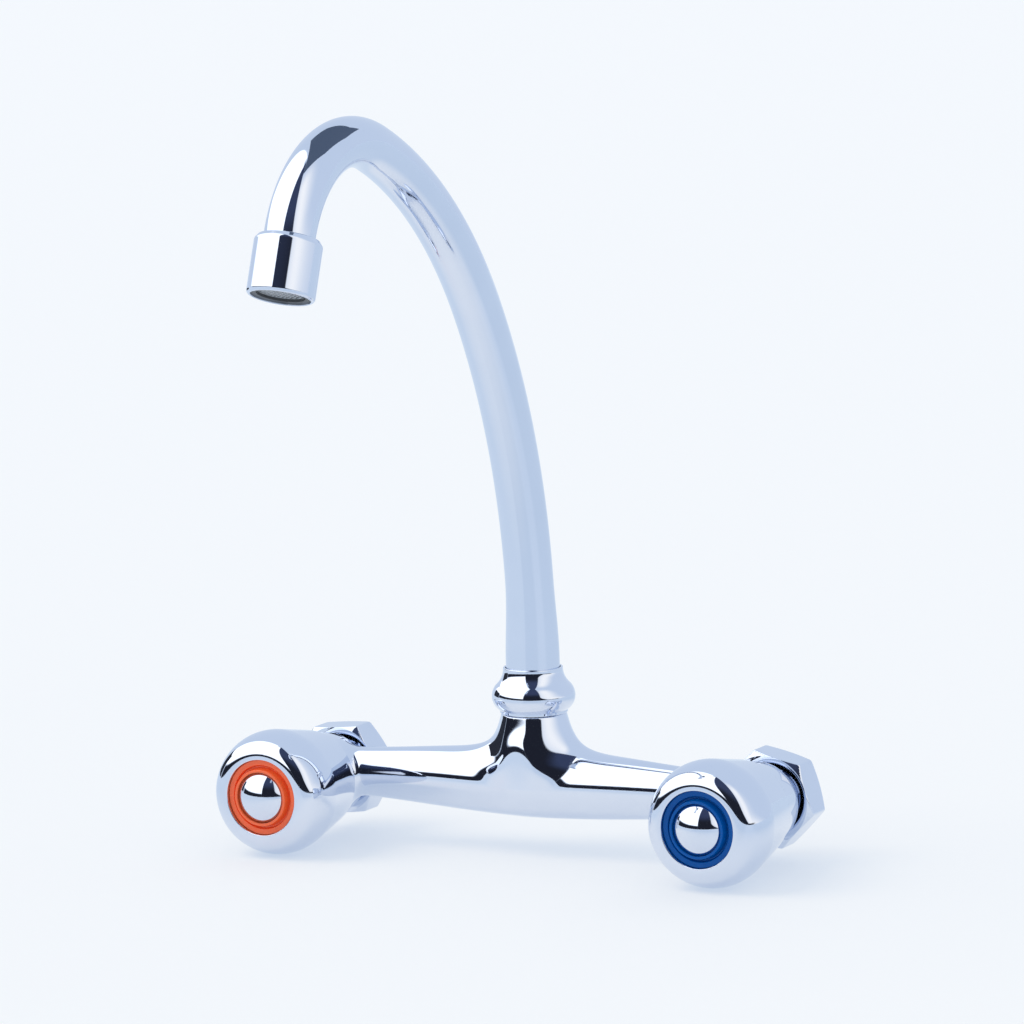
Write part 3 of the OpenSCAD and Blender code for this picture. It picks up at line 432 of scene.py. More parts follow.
def surface_net(field, axes):
    """Returns points, quads and normals of the zero level of the field over a lattice of three axes."""
    shape = [len(axis) for axis in axes]
    lattice = np.stack(np.meshgrid(*axes, indexing="ij"), -1)
    value = field(lattice.reshape(-1, 3)).reshape(shape)
    inside = value < 0
    cells = tuple(n - 1 for n in shape)
    total, count = np.zeros(cells + (3,)), np.zeros(cells)
    for axis in range(3):
        others = [i for i in range(3) if i != axis]
        for pair in ((0, 0), (0, 1), (1, 0), (1, 1)):
            cut = [slice(None)] * 3
            for other, start in zip(others, pair):
                cut[other] = slice(start, start + cells[other])
            near, far = both_ends(cut, axis)
            crossed = inside[near] != inside[far]
            share = np.where(crossed, value[near] / np.where(crossed, value[near] - value[far], 1), 0)
            total += (lattice[near] + share[..., None] * (lattice[far] - lattice[near])) * crossed[..., None]
            count += crossed
    used = count > 0
    ids = np.full(cells, -1)
    ids[used] = np.arange(used.sum())
    points = total[used] / count[used][:, None]
    quads = []
    for axis in range(3):
        first, second = (axis + 1) % 3, (axis + 2) % 3
        near, far = both_ends([slice(1, -1)] * 3, axis)
        for mask, order in ((inside[near] & ~inside[far], 1), (~inside[near] & inside[far], -1)):
            ring = []
            for steps in ((0, 0), (1, 0), (1, 1), (0, 1))[::order]:
                cell = np.argwhere(mask)
                cell[:, [first, second]] += steps
                ring.append(ids[tuple(cell.T)])
            quads.append(np.stack(ring, 1))
    quads = np.concatenate(quads)
    edges = np.concatenate([quads[:, [i, (i + 1) % 4]] for i in range(4)])
    both = np.concatenate([edges, edges[:, ::-1]])
    degree = np.bincount(both[:, 0], minlength=len(points))[:, None]
    for _ in range(SMOOTHINGS):
        mean = np.stack([np.bincount(both[:, 0], points[both[:, 1], i], len(points)) for i in range(3)], 1)
        points = 0.5 * points + 0.5 * mean / degree
        for _ in range(NEWTON_STEPS):
            slope = gradient(field, points)
            square = np.maximum((slope * slope).sum(1, keepdims=True), FLATTEST)
            points = points - np.clip(field(points)[:, None] * slope / square, -LONGEST_MOVE, LONGEST_MOVE)
    slope = gradient(field, points)
    return points, quads, slope[quads]


def spaced(*stops):
    """Lattice stations through rows of (from, to, step), each stretch divided evenly."""
    parts = [np.linspace(a, b, int(round((b - a) / step)), endpoint=False) for a, b, step in stops]
    return np.concatenate(parts + [[stops[-1][1]]])


half_x = spaced((0.0, 12.0, 0.55), (12.0, 58.0, 0.85), (58.0, 91.2, 0.5))
lattice_x = np.concatenate([-half_x[:0:-1], half_x])
lattice_y = spaced((-33.5, -4.5, 0.5))
lattice_z = spaced((-16.5, 31.2, 0.5))
make_piece("body_casting", "body", *surface_net(casting_field, (lattice_x, lattice_y, lattice_z)))

# %% [markdown]
# ## The spout
# The spout is one length of tube, wide at its root and bent in three arcs. Its surface is a circle
# carried along the centreline: straight up, then forward, over and down.

# %% Spout tube
TUBE_R, ROOT_R, TUBE_WALL = 7.5, 8.4, 1.0
ROOT_LOW, ROOT_TOP, ROOT_TAPER = 32.8, 39.8, 27.0
BEND_START = 46.0
BENDS = ((203.0, 32.5), (137.0, 35.2), (38.0, 91.4))
TUBE_SEAT = 6.0


def spout_centreline(step=1.2):
    """Stations (forward, height, lean, length): straight up, along each arc, and straight on.

    On an arc of radius R the station turns by its length over R about the arc's centre."""
    rows = [[0, z, 0, z - ROOT_TOP] for z in spaced((ROOT_LOW, BEND_START, step))]
    for radius, turn in BENDS:
        forward, height, lean, length = rows[-1]
        bend = np.radians(turn)
        sweep = np.linspace(0, bend, int(radius * bend / step) + 1)[1:]
        rows += np.stack([
            forward + radius * (np.cos(lean) - np.cos(lean + sweep)),
            height + radius * (np.sin(lean + sweep) - np.sin(lean)),
            lean + sweep,
            length + radius * sweep,
        ], 1).tolist()
    forward, height, lean, length = rows[-1]
    rows.append([forward + TUBE_SEAT * np.sin(lean), height + TUBE_SEAT * np.cos(lean), lean,
                 length + TUBE_SEAT])
    return np.array(rows)


def carried(stations, radii, turns, sides=96):
    """A circle of the given radii at each station. Columns run round it, and a row's normal is its
    spoke, tilted back where the radius changes along the way."""
    angle = np.linspace(0, 2 * np.pi, sides, endpoint=False)
    forward, height, lean, length = (stations[:, i, None] for i in range(4))
    spoke = np.stack([
        np.cos(angle) + 0 * lean, np.sin(angle) * np.cos(lean), np.sin(angle) * np.sin(lean)
    ], -1)
    middle = np.stack([0 * forward, -forward, height], -1)
    along = np.stack([0 * lean, -np.sin(lean), np.cos(lean)], -1)
    slope = np.gradient(radii, stations[:, 3])[:, None, None]
    return middle + radii[:, None, None] * spoke, turns * (spoke - slope * along)


path = spout_centreline()
share = np.clip(path[:, 3] / ROOT_TAPER, 0, 1)
outer = TUBE_R + (ROOT_R - TUBE_R) * (1 + np.cos(np.pi * share)) / 2
outside = carried(path, outer, 1)
inside = carried(path[::-1], outer[::-1] - TUBE_WALL, -1)
tip_along = np.array([0, -np.sin(path[-1, 2]), np.cos(path[-1, 2])])
tip = flat_ring(outside[0][-1], inside[0][0], tip_along)
root = flat_ring(inside[0][-1], outside[0][0], (0, 0, -1))
make_piece("spout_pipe", "spout_tube", *at_spout(stitch([outside, tip, inside, root])))
outlet = path[-2]

# %% [markdown]
# ## The spout nut
# The nut is turned with a bulging side that runs up into a small hollow under its mouth. Its inside
# holds the washer, the flange of the spout's tailpiece and the split ring.

# %% Spout nut
NUT_BASE, NUT_LIP_R, BULGE_R, BULGE_AT_R, BULGE_Z = 24.6, 10.6, 5.2, 7.8, 29.8
BULGE_END, MOUTH_R, MOUTH_LIP = 46.0, 9.3, 0.35
SCREWED_R, SCREWED_TOP, POCKET_R, POCKET_TOP, NUT_HOLE_R = 9.32, 30.2, 9.65, 34.32, 8.6
bulge_start = -np.degrees(np.arccos((NUT_LIP_R - BULGE_AT_R) / BULGE_R))
end_r, end_z = polar(BULGE_END)
hollow_r = (BULGE_AT_R + BULGE_R * end_r - MOUTH_R) / (1 - end_r)
hollow_z = BULGE_Z + (BULGE_R + hollow_r) * end_z
mouth_z = hollow_z + MOUTH_LIP
nut_outline = (
    rounded([(SCREWED_R, SCREWED_TOP, 0), (SCREWED_R, NUT_BASE, 0.25), (NUT_LIP_R, NUT_BASE, 0.25),
             (NUT_LIP_R, BULGE_Z + BULGE_R * np.sin(np.radians(bulge_start)), 0)])
    + [arc((BULGE_AT_R, BULGE_Z), BULGE_R, bulge_start, BULGE_END, 36)]
    + [arc((MOUTH_R + hollow_r, hollow_z), hollow_r, 180 + BULGE_END, 180, 20)]
    + rounded([(MOUTH_R, hollow_z, 0), (MOUTH_R, mouth_z, 0.3), (NUT_HOLE_R, mouth_z, 0.25),
               (NUT_HOLE_R, POCKET_TOP, 0), (POCKET_R, POCKET_TOP, 0), (POCKET_R, SCREWED_TOP, 0),
               (SCREWED_R, SCREWED_TOP, 0)])
)
make_piece("spout_nut_turned", "spout_nut", *at_spout(stitch(turned(nut_outline, 160))))
print("spout nut mouth at", round(mouth_z, 2), "mm")

# %% [markdown]
# ## The outlet
# A turned sleeve is brazed on the end of the tube and holds the aerator. Its pieces are drawn along the
# flow and then placed where the tube ends.

# %% Aerator sleeve


def at_outlet(part):
    """A part drawn along the flow goes to the tube's end."""
    forward, height, lean, _ = outlet
    turn = [[1, 0, 0], [0, np.cos(lean), -np.sin(lean)], [0, np.sin(lean), np.cos(lean)]]
    return moved(part, turn, [0, -SPOUT_AXIS - forward, height])


SLEEVE_R, SLEEVE_LENGTH, SLEEVE_REAR_R = 10.0, 17.7, 8.9
TUBE_HOLE_R, PASSAGE_R, CAVITY_R, CAVITY_REAR = 7.52, 6.5, 8.75, 7.2
sleeve_outline = rounded([
    (TUBE_HOLE_R, 0, 0.2), (SLEEVE_REAR_R, 0, 0.6), (SLEEVE_R, 1.5, 1.4), (SLEEVE_R, SLEEVE_LENGTH, 1.1),
    (CAVITY_R, SLEEVE_LENGTH, 0.25), (CAVITY_R, CAVITY_REAR, 0), (PASSAGE_R, CAVITY_REAR, 0.1),
    (PASSAGE_R, TUBE_SEAT, 0), (TUBE_HOLE_R, TUBE_SEAT, 0),
], closed=True, steps=8)
make_piece("aerator_sleeve", "aerator_housing", *at_outlet(stitch(turned(sleeve_outline, 160))))

# %% [markdown]
# ## The handles
# A handle is a hollow die casting. The outside runs straight from its rear edge into one large round and
# over a small crest, and the inside holds a hub with ribs. Both handles share one outline.

# %% Handles
KNOB_R, KNOB_REAR_R, KNOB_REAR, KNOB_WIDE, KNOB_FRONT = 19.6, 15.8, 28.0, 49.5, 60.6
CREST_R, CREST_ROUND = 12.6, 5.6
RECESS_R, RECESS_FLOOR, WEB_REAR, KNOB_WALL, REAR_STRAIGHT = 11.87, 57.9, 55.0, 1.8, 6.0
SCREW_R, SCREW_SEAT, SPLINE_R, HUB_R, HUB_REAR = 2.2, 56.6, 4.0, 6.2, 49.7
LIP_ROUND = 0.3


def knob_outline():
    """The side arc touches the widest radius and the crest's arc, and a line from the rear edge
    touches the side arc. Closing the loop are the recess, the hub and the hollow inside."""
    drop, run = KNOB_R - CREST_R, KNOB_FRONT - KNOB_WIDE - CREST_ROUND
    side_r = (drop**2 + run**2 - CREST_ROUND**2) / (2 * (drop - CREST_ROUND))
    centre = np.array([KNOB_R - side_r, KNOB_WIDE])
    to_rear = np.array([KNOB_REAR_R, KNOB_REAR]) - centre
    start = np.degrees(np.arctan2(*to_rear[::-1]) + np.arccos(side_r / np.linalg.norm(to_rear)))
    meet = np.degrees(np.arctan2(run, CREST_R - centre[0]))
    touch = centre + side_r * polar(start)
    crest = np.array([CREST_R, KNOB_FRONT - CREST_ROUND])
    lip_end = 90 + np.degrees(np.arcsin((CREST_R - RECESS_R - LIP_ROUND) / CREST_ROUND))
    lip = crest + CREST_ROUND * polar(lip_end)
    rear_r, wide_r, turn_r = KNOB_REAR_R - KNOB_WALL, KNOB_R - KNOB_WALL, WEB_REAR - KNOB_WIDE
    straight = KNOB_REAR + REAR_STRAIGHT
    return (
        rounded([(rear_r, straight, 0), (rear_r, KNOB_REAR, 0.3), (KNOB_REAR_R, KNOB_REAR, 0.4),
                 (*touch, 0)])
        + [arc(centre, side_r, start, meet, 40), arc(crest, CREST_ROUND, meet, lip_end, 20)]
        + rounded([(*lip, 0), (RECESS_R, lip[1], LIP_ROUND), (RECESS_R, RECESS_FLOOR, 0),
                   (SCREW_R, RECESS_FLOOR, 0), (SCREW_R, SCREW_SEAT, 0), (SPLINE_R, SCREW_SEAT, 0),
                   (SPLINE_R, HUB_REAR, 0), (HUB_R, HUB_REAR, 0.3), (HUB_R, WEB_REAR, 0.8),
                   (wide_r - turn_r, WEB_REAR, 0)])
        + [arc((wide_r - turn_r, KNOB_WIDE), turn_r, 90, 0, 12)]
        + [line((wide_r, KNOB_WIDE), (rear_r, straight))]
    )


def merged(parts):
    """Several (points, quads, normals) as one."""
    points, quads, normals = zip(*parts)
    shift = np.cumsum([0] + [len(group) for group in points[:-1]])
    quads = [group + start for group, start in zip(quads, shift)]
    return np.concatenate(points), np.concatenate(quads), np.concatenate(normals)


def ribs(count=6, inner=5.6, outer=15.0, thick=1.4, low=51.0, high=55.3):
    """Flat ribs between the hub and the shell, each a box turned about the axis."""
    corner = np.array([[x, y, z] for z in (low, high) for x, y in
                       ((inner, -thick / 2), (outer, -thick / 2), (outer, thick / 2), (inner, thick / 2))])
    faces = np.array([[3, 2, 1, 0], [4, 5, 6, 7], [0, 1, 5, 4], [1, 2, 6, 5], [2, 3, 7, 6], [3, 0, 4, 7]])
    out = np.array([[0, 0, -1], [0, 0, 1], [0, -1, 0], [1, 0, 0], [0, 1, 0], [-1, 0, 0]], float)
    parts = []
    for a in np.arange(count) * 2 * np.pi / count:
        turn = np.array([[np.cos(a), -np.sin(a), 0], [np.sin(a), np.cos(a), 0], [0, 0, 1]])
        parts.append((corner @ turn.T, faces, np.repeat((out @ turn.T)[:, None], 4, 1)))
    return merged(parts)


make_pair("knob", "handle", merged([stitch(turned(knob_outline(), 160)), ribs()]))

# %% [markdown]
# ## The coloured rings and the caps
# A moulded ring fills each handle's recess. It has a flat face, a narrow crease and a raised collar that
# holds the cap, a small chromed dome.

# %% Rings and caps
RING_R, RING_HOLE_R, RING_REAR, RING_TOP = 11.85, 8.02, 57.92, 61.1
RING_FACE, FACE_INNER, FACE_INNER_R, RAISED_R = 59.5, 59.4, 10.1, 8.85
CREASE_OUTER, CREASE_INNER, CREASE_FLOOR = 9.75, 9.3, 58.35
CAP_R, CAP_EDGE, CAP_DOME, CAP_WALL = 8.0, 60.1, 4.0, 0.9
ring_outline = rounded([
    (RING_HOLE_R, RING_REAR, 0), (RING_R, RING_REAR, 0), (RING_R, RING_FACE, 0.3),
    (FACE_INNER_R, FACE_INNER, 0.2), (CREASE_OUTER, CREASE_FLOOR, 0.15),
    (CREASE_INNER, CREASE_FLOOR, 0.15), (RAISED_R, RING_TOP, 0.3), (RING_HOLE_R, RING_TOP, 0.25),
], closed=True, steps=4)
dome_r = (CAP_R**2 + CAP_DOME**2) / (2 * CAP_DOME)
dome_centre = CAP_EDGE + CAP_DOME - dome_r
edge_angle = np.degrees(np.arcsin((CAP_EDGE - dome_centre) / dome_r))
inner_r, inner_dome = CAP_R - CAP_WALL, dome_r - CAP_WALL
inner_angle = np.degrees(np.arccos(inner_r / inner_dome))
cap_outline = (
    [arc((0, dome_centre), inner_dome, 90, inner_angle, 16)]
    + rounded([(inner_r, dome_centre + inner_dome * np.sin(np.radians(inner_angle)), 0),
               (inner_r, RING_REAR, 0.1), (CAP_R, RING_REAR, 0.1), (CAP_R, CAP_EDGE, 0)])
    + [arc((0, dome_centre), dome_r, edge_angle, 90, 36)]
)
make_pair("ring", "index_ring", stitch(turned(ring_outline)))
make_pair("dome", "cap", stitch(turned(cap_outline), closed=False))

# %% [markdown]
# ## The union nuts
# A union nut is a hexagon whose corners are turned off at both ends. Its outline at each depth is a
# polygon with soft corners, limited by the cone of the chamfer, and a fine thread runs inside.

# %% Union nuts
FLATS, NUT_LENGTH, NUT_END_GAP = 27.6, 11.0, 0.02
BEVEL_REAR, BEVEL_FRONT, BEVEL_START, CORNER_POWER = 1.6, 2.2, 8.8, 70
CONE_EXTRA, REAR_SLOPE, FRONT_SLOPE, CONE_BLEND = 0.1, 1.9, 1.35, 0.5
THREAD_R, THREAD_DEEP, THREAD_PITCH, THREAD_START, THREAD_END = 12.1, 0.45, 1.4, 0.9, 5.4
NUT_MOUTH_R, TAIL_HOLE_R, RELIEF_R, SHOULDER = 12.9, 9.3, 12.5, 2.4


def hexagon_radius(angle):
    """Radius of a six-sided outline with soft corners: apothem over the p-norm of the six cosines."""
    sides = np.radians(np.arange(6) * 60 + 30)
    reach = np.maximum(np.cos(angle[..., None] - sides), 0)
    return FLATS / 2 / (reach**CORNER_POWER).sum(-1) ** (1 / CORNER_POWER)


def nut_side(angle, depth):
    """The hexagon, limited softly by a cone at either end."""
    cone = np.minimum(CONE_EXTRA + REAR_SLOPE * depth, FRONT_SLOPE * (NUT_LENGTH - depth)) + FLATS / 2
    return soft_min(hexagon_radius(angle), cone, CONE_BLEND)


def union_nut(turn):
    """Patches of a nut: the sides, the front face and the inside with its thread, then the rear face.

    The thread is a groove of 60 degrees whose depth follows the distance from a helix."""
    corners = np.linspace(-30, 30, 25)
    corners = np.sign(corners) * 30 * (1 - (1 - np.abs(corners) / 30) ** 1.6)
    angle = np.radians((np.arange(6)[:, None] * 60 + 30 + corners[None, :-1]).ravel())
    bevel = 1 - np.cos(np.linspace(0, np.pi / 2, 10))
    depth = np.concatenate([BEVEL_REAR * bevel, np.linspace(BEVEL_REAR, BEVEL_START, 7)[1:],
                            BEVEL_START + BEVEL_FRONT * (1 - bevel[::-1][1:])])
    depth = np.clip(depth, NUT_END_GAP, NUT_LENGTH - NUT_END_GAP)
    spin = angle + np.radians(turn)

    def at(r, a, z):
        """Points at the radius r, angle a and depth z."""
        return np.stack([r * np.cos(a), r * np.sin(a), z + 0 * a], -1)

    def skin(a, z):
        """The turned nut's side, for its normals and its points."""
        return at(nut_side(a, z), a + np.radians(turn), z)

    a, z = np.meshgrid(angle, depth)
    points = skin(a, z)
    step = 1e-3
    normals = np.cross(skin(a + step, z) - skin(a - step, z), skin(a, z + step) - skin(a, z - step))

    def wall(r, z_in):
        """Rows of points round the axis at the radii r and depths z_in."""
        return at(np.array(r), spin, np.array(z_in))

    z_thread = np.linspace(THREAD_END, THREAD_START, 60)[:, None]
    phase = (z_thread / THREAD_PITCH - spin / (2 * np.pi)) % 1
    groove = np.clip(2 * np.abs(phase - 0.5) * 1.6 - 0.3, 0, 1)
    threads = wall(THREAD_R + THREAD_DEEP * groove, z_thread)
    spoke = at(1, spin, 0)
    front, shoulder = NUT_LENGTH - NUT_END_GAP, NUT_LENGTH - SHOULDER
    mouth = wall([[THREAD_R], [NUT_MOUTH_R]], [[THREAD_START], [NUT_END_GAP]])
    bore = wall([[TAIL_HOLE_R + 0.3], [TAIL_HOLE_R], [TAIL_HOLE_R]], [[front], [front - 0.3], [shoulder]])
    relief = wall([[RELIEF_R], [RELIEF_R]], [[shoulder], [THREAD_END]])

    def walls(rows, tilt):
        """A patch of rows that face the axis, tilted along it."""
        return rows, np.broadcast_to(-spoke + np.array([0, 0, tilt]), rows.shape)

    threads[-1] = mouth[0]
    return stitch([
        (points, normals),
        flat_ring(points[-1], bore[0], (0, 0, 1)),
        walls(bore[:2], 1.0), walls(bore[1:], 0.0),
        flat_ring(bore[-1], relief[0], (0, 0, -1)),
        walls(relief, 0.0),
        flat_ring(relief[-1], threads[0], (0, 0, 1)),
        walls(threads, 0.0),
        walls(mouth, -0.9),
        flat_ring(mouth[-1], points[0], (0, 0, -1)),
    ])


HOT_NUT_TURN, COLD_NUT_TURN = 4.0, -14.0
make_pair("nut", "union_nut", union_nut(HOT_NUT_TURN), union_nut(COLD_NUT_TURN))

# %% [markdown]
# ## The aerator's screen
# A fine woven screen shows in the outlet. Each wire is a tube that rises and falls over the wires it
# crosses: its height is a cosine of the distance along it, and neighbours start half a wave apart.

# %% Woven screen
SCREEN_R, SCREEN_DEPTH, WIRE_R, WIRE_PITCH = 7.88, 15.85, 0.13, 0.8
RIM_WIDE, RIM_HALF, RIM_ROUND = 0.9, 0.3, 0.1


def woven_screen():
    """Two layers of wires with rounded paths, and the rim that holds them."""
    parts = []
    ring_angle = np.linspace(0, 2 * np.pi, 6, endpoint=False)
    offsets = np.arange(-9, 10) * WIRE_PITCH
    for along in (0, 1):
        for number, offset in enumerate(offsets):
            reach = np.sqrt(max(SCREEN_R**2 - offset**2, 0.3)) - 0.1
            s = np.linspace(-reach, reach, int(reach / WIRE_PITCH * 6) + 4)
            wave = WIRE_R * 0.95 * np.cos(np.pi * (s / WIRE_PITCH + number + along))
            centre = np.stack([s, np.full_like(s, offset), SCREEN_DEPTH + wave], -1)
            spoke = np.stack([0 * ring_angle, np.cos(ring_angle), np.sin(ring_angle)], -1)
            points = centre[:, None] + WIRE_R * spoke
            normals = np.broadcast_to(spoke, points.shape)
            ends = [flat_ring(*[points[i] * 0 + centre[i], points[i]][::d], (-d, 0, 0))
                    for i, d in ((0, 1), (-1, -1))]
            part = stitch([ends[0], (points, normals), ends[1]], closed=False)
            if along:
                part = (part[0][:, [1, 0, 2]], part[1][:, ::-1], part[2][:, ::-1][:, :, [1, 0, 2]])
            parts.append(part)
    corners = [(SCREEN_R - inwards * RIM_WIDE, SCREEN_DEPTH + side * RIM_HALF, RIM_ROUND)
               for inwards, side in ((1, -1), (0, -1), (0, 1), (1, 1))]
    rim = stitch(turned(rounded(corners, closed=True, steps=2), 72))
    return merged(parts + [rim])


make_piece("outlet_screen", "aerator_screens", *at_outlet(woven_screen()))

# %% [markdown]
# ## Finishes
# Real chrome is not a perfect mirror: polishing leaves faint hairlines and a soft orange peel, and
# handling leaves a haze that comes and goes. One node group gives these effects to all the finishes, with
# its own strength in each.

# %% Node helpers


def add_node(tree, kind, links=None, **settings):
    """Adds a node. links gives its inputs, each a socket or a value, and settings its properties."""
    node = tree.nodes.new(kind)
    for name, value in settings.items():
        setattr(node, name, value)
    for socket, source in (links or {}).items():
        if isinstance(source, bpy.types.NodeSocket):
            tree.links.new(source, node.inputs[socket])
        else:
            node.inputs[socket].default_value = source
    return node


def math(tree, operation, *values):
    """One Math node: its inputs are sockets or numbers."""
    return add_node(tree, "ShaderNodeMath", dict(enumerate(values)), operation=operation).outputs[0]


def product(tree, a, b):
    """a times b."""
    return math(tree, "MULTIPLY", a, b)


def step_up(tree, value, low, high, **settings):
    """0 below low, 1 above high, and a smooth or LINEAR step between."""
    node = add_node(tree, "ShaderNodeMapRange", {"Value": value, "From Min": low, "From Max": high},
                    **{"interpolation_type": "SMOOTHSTEP", **settings})
    return node.outputs["Result"]


def between(tree, value, low, high, soft):
    """1 from low to high, with soft ends."""
    rise = step_up(tree, value, low - soft, low + soft)
    fall = step_up(tree, value, high - soft, high + soft)
    return math(tree, "SUBTRACT", rise, fall)


def blend_colour(tree, share, first, second):
    """first where share is 0, second where it is 1. Each is a socket or a colour."""
    node = add_node(tree, "ShaderNodeMix", {"Factor": share}, data_type="RGBA")
    colours = [socket for socket in node.inputs if socket.type == "RGBA"]
    for socket, value in zip(colours, (first, second)):
        if isinstance(value, bpy.types.NodeSocket):
            tree.links.new(value, socket)
        else:
            socket.default_value = (*value, 1)
    return [socket for socket in node.outputs if socket.type == "RGBA"][0]


def noise(tree, place, scale, detail, **more):
    """A noise pattern's value at a place, with a number of octaves that is given as its detail."""
    links = {"Vector": place, "Scale": scale, "Detail": detail, **more}
    return add_node(tree, "ShaderNodeTexNoise", links).outputs[0]


def surface_group():
    """Haze and hairlines: roughness = base + haze * mottle, with the mottle cut from a soft noise, and
    height = peel + speckle / 4 - hairlines / 2."""
    group = bpy.data.node_groups.new("worked_surface", "ShaderNodeTree")
    for name, kind in (("Vector", "Vector"), ("Base roughness", "Float"), ("Haze", "Float")):
        group.interface.new_socket(name, in_out="INPUT", socket_type=f"NodeSocket{kind}")
    for name in ("Roughness", "Height", "Mottle"):
        group.interface.new_socket(name, in_out="OUTPUT", socket_type="NodeSocketFloat")
    given = group.nodes.new("NodeGroupInput").outputs
    place = given["Vector"]
    stretch = add_node(group, "ShaderNodeMapping", {
        "Vector": place, "Scale": (240.0, 4200.0, 3100.0), "Rotation": (0.4, 0.7, 0.2)})
    haze = noise(group, place, 38.0, 5.0, Roughness=0.6)
    mottle = step_up(group, haze, 0.35, 0.75, interpolation_type="LINEAR")
    lines = step_up(group, noise(group, stretch.outputs[0], 1.0, 1.0), 0.62, 0.72, interpolation_type="LINEAR")
    speckle = product(group, noise(group, place, 2600.0, 2.0), 0.25)
    bumps = math(group, "ADD", noise(group, place, 420.0, 2.0), speckle)
    results = {
        "Roughness": math(group, "ADD", product(group, mottle, given["Haze"]), given["Base roughness"]),
        "Height": math(group, "SUBTRACT", bumps, product(group, lines, 0.5)),
        "Mottle": mottle,
    }
    ends = group.nodes.new("NodeGroupOutput").inputs
    for name, socket in results.items():
        group.links.new(socket, ends[name])
    return group


worked = surface_group()


def finish_material(name, colour, second, metallic, roughness, haze, bump, grain=None, **sockets):
    """A Principled material: its colour drifts between two shades, and its haze and height come from
    the shared group. grain stretches the pattern along one axis, as turning or brushing does."""
    material = bpy.data.materials.new(name)
    material.use_nodes = True
    tree = material.node_tree
    tree.nodes.clear()
    place = add_node(tree, "ShaderNodeTexCoord").outputs["Object"]
    if grain:
        place = add_node(tree, "ShaderNodeMapping", {"Vector": place, "Scale": grain}).outputs[0]
    worn = add_node(tree, "ShaderNodeGroup", {
        "Vector": place, "Base roughness": roughness, "Haze": haze}, node_tree=worked)
    shade = blend_colour(tree, worn.outputs["Mottle"], colour, second)
    raised = add_node(tree, "ShaderNodeBump", {
        "Height": worn.outputs["Height"], "Strength": 1.0, "Distance": bump}).outputs[0]
    shader = add_node(tree, "ShaderNodeBsdfPrincipled", {
        "Base Color": shade, "Roughness": worn.outputs["Roughness"], "Normal": raised,
        "Metallic": metallic, **sockets})
    out = tree.nodes.new("ShaderNodeOutputMaterial")
    tree.links.new(shader.outputs[0], out.inputs["Surface"])
    print("finish", name)
    return material


# %% [markdown]
# The chrome is a slightly blue mirror with very little haze. The rings are glossy moulded plastic, with a
# clear coat over a faint mottle. Inside are turned brass, black rubber, red fibre and white nylon.

# %% The finishes
COATED = {"Coat Roughness": 0.08}
FINISHES = (  # name, first and second colour, metallic, roughness, haze, bump in metres, what else
    ("chrome", (0.74, 0.79, 0.89), (0.71, 0.765, 0.87), 1.0, 0.03, 0.03, 1.5e-6, {}),
    ("brass", (0.78, 0.56, 0.26), (0.66, 0.45, 0.18), 1.0, 0.22, 0.18, 1e-5, {"grain": (1, 30, 1)}),
    ("rubber", (0.022, 0.022, 0.024), (0.04, 0.04, 0.043), 0.0, 0.6, 0.2, 2e-5, {}),
    ("nylon", (0.8, 0.79, 0.75), (0.72, 0.71, 0.66), 0.0, 0.4, 0.15, 1.2e-5, {}),
    ("fibre", (0.42, 0.09, 0.05), (0.3, 0.06, 0.035), 0.0, 0.7, 0.2, 3e-5, {"grain": (3, 1, 3)}),
    ("steel", (0.62, 0.63, 0.64), (0.55, 0.56, 0.58), 1.0, 0.2, 0.15, 8e-6, {}),
    # The aerator's plastic is black, and it is also painted nearly black to give the outlet's ring the dark
    # shade of the gap round the aerator: partly its own colour, partly painted shade.
    ("aerator_plastic", (0.07, 0.075, 0.08), (0.05, 0.055, 0.06), 0.0, 0.35, 0.15, 1e-5, {}),
    ("hot_plastic", (0.98, 0.15, 0.04), (0.92, 0.13, 0.032), 0.0, 0.22, 0.1, 6e-6,
     {"Coat Weight": 0.25, **COATED}),
    ("cold_plastic", (0.0, 0.095, 0.38), (0.0, 0.08, 0.32), 0.0, 0.25, 0.1, 6e-6,
     {"Coat Weight": 0.06, "Specular IOR Level": 0.16, **COATED}),
)
finishes = {name: finish_material(name, *values, **more) for name, *values, more in FINISHES}

# %% [markdown]
# ## Everything gets its finish and its body
# Each new piece stands for the CAD node it replaces and rides on that node's body. Every other CAD node
# keeps its shape and takes the finish that the record names for it.

# %% Finishes, bodies and slots
bodies_of = {name: body for body, members in frame["record"]["behaviour"]["bodies"].items() for name in members}
slot_of = {row["node"]: row["material_slot"] for row in frame["record"]["subparts"]}
for name, node in nodes.items():
    node.data.materials.clear()
    node.data.materials.append(finishes[slot_of[name]])
for piece, name in standing_for.items():
    piece.data.materials.append(finishes[slot_of[name]])
    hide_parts(name)
    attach(piece, bodies_of[name])
print(len(standing_for), "pieces stand for CAD nodes")

# %% [markdown]
# ## The studio
# Chrome has no colour of its own: it shows the room. The photograph's room can be read from the tube and
# the nut, where each normal is known. A white softbox stands to the left, over a dark skirting. Beside it
# opens a tall dark gap, black below and navy above, which spreads towards the horizon. Past the gap the
# wall glows white and fades to pale blue, with one thin dark line at the horizon. The world paints that
# room for glossy rays by their direction, as azimuth (0 ahead of the handles, positive towards the cold
# side) and elevation in degrees. The camera sees a white backdrop, and any other ray a plain pale sky.

